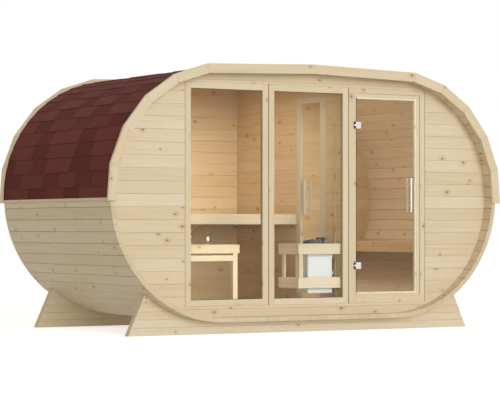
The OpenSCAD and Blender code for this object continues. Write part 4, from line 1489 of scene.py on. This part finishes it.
class SAUNA_OT_cradles(bpy.types.Operator):
    """Cradles of stacked boards, cut to the staves"""

    bl_idname = "sauna.cradles"
    bl_label = "Cradles"

    def half(self, side, low, high, depth, foot, name):
        """One board of one side, from the slanted end to the staves or, under the belly, to the
        middle. Its ends follow those outlines at each height of the loop. A board that reaches
        past the belly is two solids that meet there."""
        slope = 0.45
        whole = dense(wall_board(depth, low, high), 0.012)
        look = own_look(name)
        made = []
        for under in (True, False):
            a, b = (low, min(high, BELLY)) if under else (max(low, BELLY), high)
            if a >= b:
                continue
            loop = np.column_stack([whole[:, 0], np.clip(whole[:, 1], a, b)])
            loop = loop[np.abs(loop - np.roll(loop, 1, 0)).sum(1) > ROUNDING]
            z = loop[:, 1]
            out = foot - slope * z
            chord = np.sqrt(np.maximum(END_R**2 - (z - MID) ** 2, 0))
            room = 0 * z if under else np.minimum(END_X + chord, out - CLEAR / 2)
            ends = np.sort([side * out, side * room], 0)
            made.append(wooden(carried(loop, *ends, ALONG_X), X, Z, *look))
        return made

    def cradle(self, name):
        low, high = BOX[name]
        parts = []
        for a, b in rows(low[2], high[2], low[2], setting("sauna_boards").cradle_pitch):
            for side in (-1, 1):
                parts += self.half(side, a, b, (low[1], high[1]), high[0], f"{name} {a:.3f}")
        make(name + "_boards", parts, [spruce()], [name])

    def screws(self):
        """Two sunk screw heads near the left tip of the front cradle."""
        face = BOX["foot_front"][0, 1]
        left, rises = -1.588, (0.284, 0.323)
        dome = [(0.0055, -0.004), (0.0055, 0.0002), (0.0040, 0.0008), (0.0004, 0.0008)]
        parts = [plain(turned(dome, (left, face, z), -Y, X, 16)) for z in rises]
        make("cradle_screws", parts, [dark_steel()], smooth=True)

    def execute(self, context):
        self.screws()
        self.cradle("foot_front")
        self.cradle("foot_back")
        return {"FINISHED"}


class SAUNA_OT_stage(bpy.types.Operator):
    """Pale floor, soft light and the camera"""

    bl_idname = "sauna.stage"
    bl_label = "Stage"

    def background(self, tree):
        """Mask of the rays that show the background: those of the camera, and those that
        metal mirrors and glass lets through. Light that a matt surface gathers isn't among
        them, so that white glass panes don't brighten the rooms."""
        path = node(tree, "LightPath").outputs
        seen = calc(tree, "MAXIMUM", path["Is Camera Ray"], path["Is Transmission Ray"])
        seen = calc(tree, "MAXIMUM", seen, path["Is Glossy Ray"])
        first = calc(tree, "LESS_THAN", path["Diffuse Depth"], 0.5)
        return calc(tree, "MULTIPLY", seen, first)

    def pale(self, tree):
        """A matt shader that keeps the shadow and is lifted to white in the background. Half of
        the world's light reaches the object from below through it."""
        lifted, let_through = 0.62, 0.5
        matt = node(tree, "BsdfDiffuse", Color=(0.90, 0.90, 0.90, 1.0)).outputs[0]
        lift = node(tree, "Emission", Color=(1, 1, 1, 1),
            Strength=calc(tree, "MULTIPLY", self.background(tree), lifted)).outputs[0]
        both = node(tree, "AddShader", (), {0: matt, 1: lift}).outputs[0]
        gathered = node(tree, "LightPath").outputs["Is Diffuse Ray"]
        gap = node(tree, "BsdfTransparent").outputs[0]
        share = calc(tree, "MULTIPLY", gathered, let_through)
        return node(tree, "MixShader", (), {0: share, 1: both, 2: gap}).outputs[0]

    def floor(self):
        half = 60.0
        mesh = bpy.data.meshes.new("pale_floor")
        mesh.from_pydata([(-half, -half, 0), (half, -half, 0), (half, half, 0), (-half, half, 0)],
            [], [(0, 1, 2, 3)])
        mesh.materials.append(surface("Pale Floor", self.pale))
        add("pale_floor", mesh)

    def room(self, strength):
        """White in the background, and a soft light from all round for the rest."""
        world = bpy.data.worlds.new("Soft Room")
        bpy.context.scene.world = world
        world.use_nodes = True
        tree = world.node_tree
        tree.nodes.clear()
        soft = opaque(strength * c for c in (1.04, 0.98, 0.86))
        light = blend(tree, self.background(tree), soft, (1, 1, 1, 1))
        back = node(tree, "Background", Color=light, Strength=1.0).outputs[0]
        node(tree, "OutputWorld", Surface=back)

    def lamp(self, name, kind, power, tint, turn):
        """A lamp that no ray through glass shows."""
        data = bpy.data.lights.new(name, kind)
        data.energy, data.color = power, tint
        made = add(name, data)
        made.rotation_euler = turn
        made.visible_transmission = False
        return made

    def key(self, stage):
        turn = (math.pi / 2 - stage.key_rise, 0, stage.key_turn)
        lamp = self.lamp("key_light", "SUN", stage.key, (0.96, 0.98, 1.0), turn)
        lamp.data.angle = math.radians(34)

    def panel(self, name, place, size, lean, power):
        """Soft panel in a room that no ray of the camera, of metal or of glass shows."""
        lamp = self.lamp(name, "AREA", power, (1.0, 0.97, 0.92), (lean, 0, 0))
        lamp.location = place
        lamp.visible_camera = lamp.visible_glossy = False
        lamp.data.shape = "RECTANGLE"
        lamp.data.size, lamp.data.size_y = size

    def indoors(self, power):
        """Panels under the ceilings and just inside the left window."""
        ceiling, window = MID + ROOM_R - 0.06, WALL_IN + 0.03
        down, inward = 0.0, math.pi / 2
        self.panel("left_ceiling", (-0.50, -0.15, ceiling), (1.1, 1.3), down, power)
        self.panel("right_ceiling", (0.88, -0.05, ceiling), (0.6, 1.5), down, power)
        self.panel("left_front", (-0.66, window, FLOOR + 0.30), (1.0, 0.5), inward, 0.12 * power)

    def camera(self, stage):
        data = bpy.data.cameras.new("photo_camera")
        data.sensor_width = 36.0
        data.lens, data.shift_y, data.clip_end = stage.lens, stage.rise, 200.0
        camera = add("photo_camera", data)
        camera.location = stage.camera
        camera.rotation_euler = (math.pi / 2, 0, stage.turn)
        bpy.context.scene.camera = camera

    def execute(self, context):
        stage = setting("sauna_stage")
        self.floor()
        self.room(stage.room)
        self.key(stage)
        self.indoors(stage.indoors)
        self.camera(stage)
        context.scene.view_settings.view_transform = "Standard"
        return {"FINISHED"}


OPERATORS = (SAUNA_OT_stage, SAUNA_OT_staves, SAUNA_OT_walls, SAUNA_OT_floor, SAUNA_OT_roof,
    SAUNA_OT_glazing, SAUNA_OT_doors, SAUNA_OT_benches, SAUNA_OT_heater, SAUNA_OT_cradles)


class SAUNA_PT_panel(bpy.types.Panel):
    """Lists the sauna's pieces and sizes"""

    bl_label = "Barrel Sauna"
    bl_idname = "SAUNA_PT_panel"
    bl_space_type = "VIEW_3D"
    bl_region_type = "UI"
    bl_category = "Sauna"

    def draw(self, context):
        for operator in OPERATORS:
            self.layout.operator(operator.bl_idname)
        for name, kind in GROUPS.items():
            box = self.layout.box()
            box.label(text=kind.__doc__)
            for key in kind.__annotations__:
                box.prop(getattr(context.scene, name), key)


def register():
    for kind in (*GROUPS.values(), *OPERATORS, SAUNA_PT_panel):
        bpy.utils.register_class(kind)
    for name, kind in GROUPS.items():
        setattr(bpy.types.Scene, name, bpy.props.PointerProperty(type=kind))


def unregister():
    for name in GROUPS:
        delattr(bpy.types.Scene, name)
    for kind in (SAUNA_PT_panel, *OPERATORS[::-1], *list(GROUPS.values())[::-1]):
        bpy.utils.unregister_class(kind)


def main():
    register()
    for operator in OPERATORS:
        getattr(bpy.ops.sauna, operator.bl_idname.split(".")[1])()


if __name__ == "__main__":
    main()
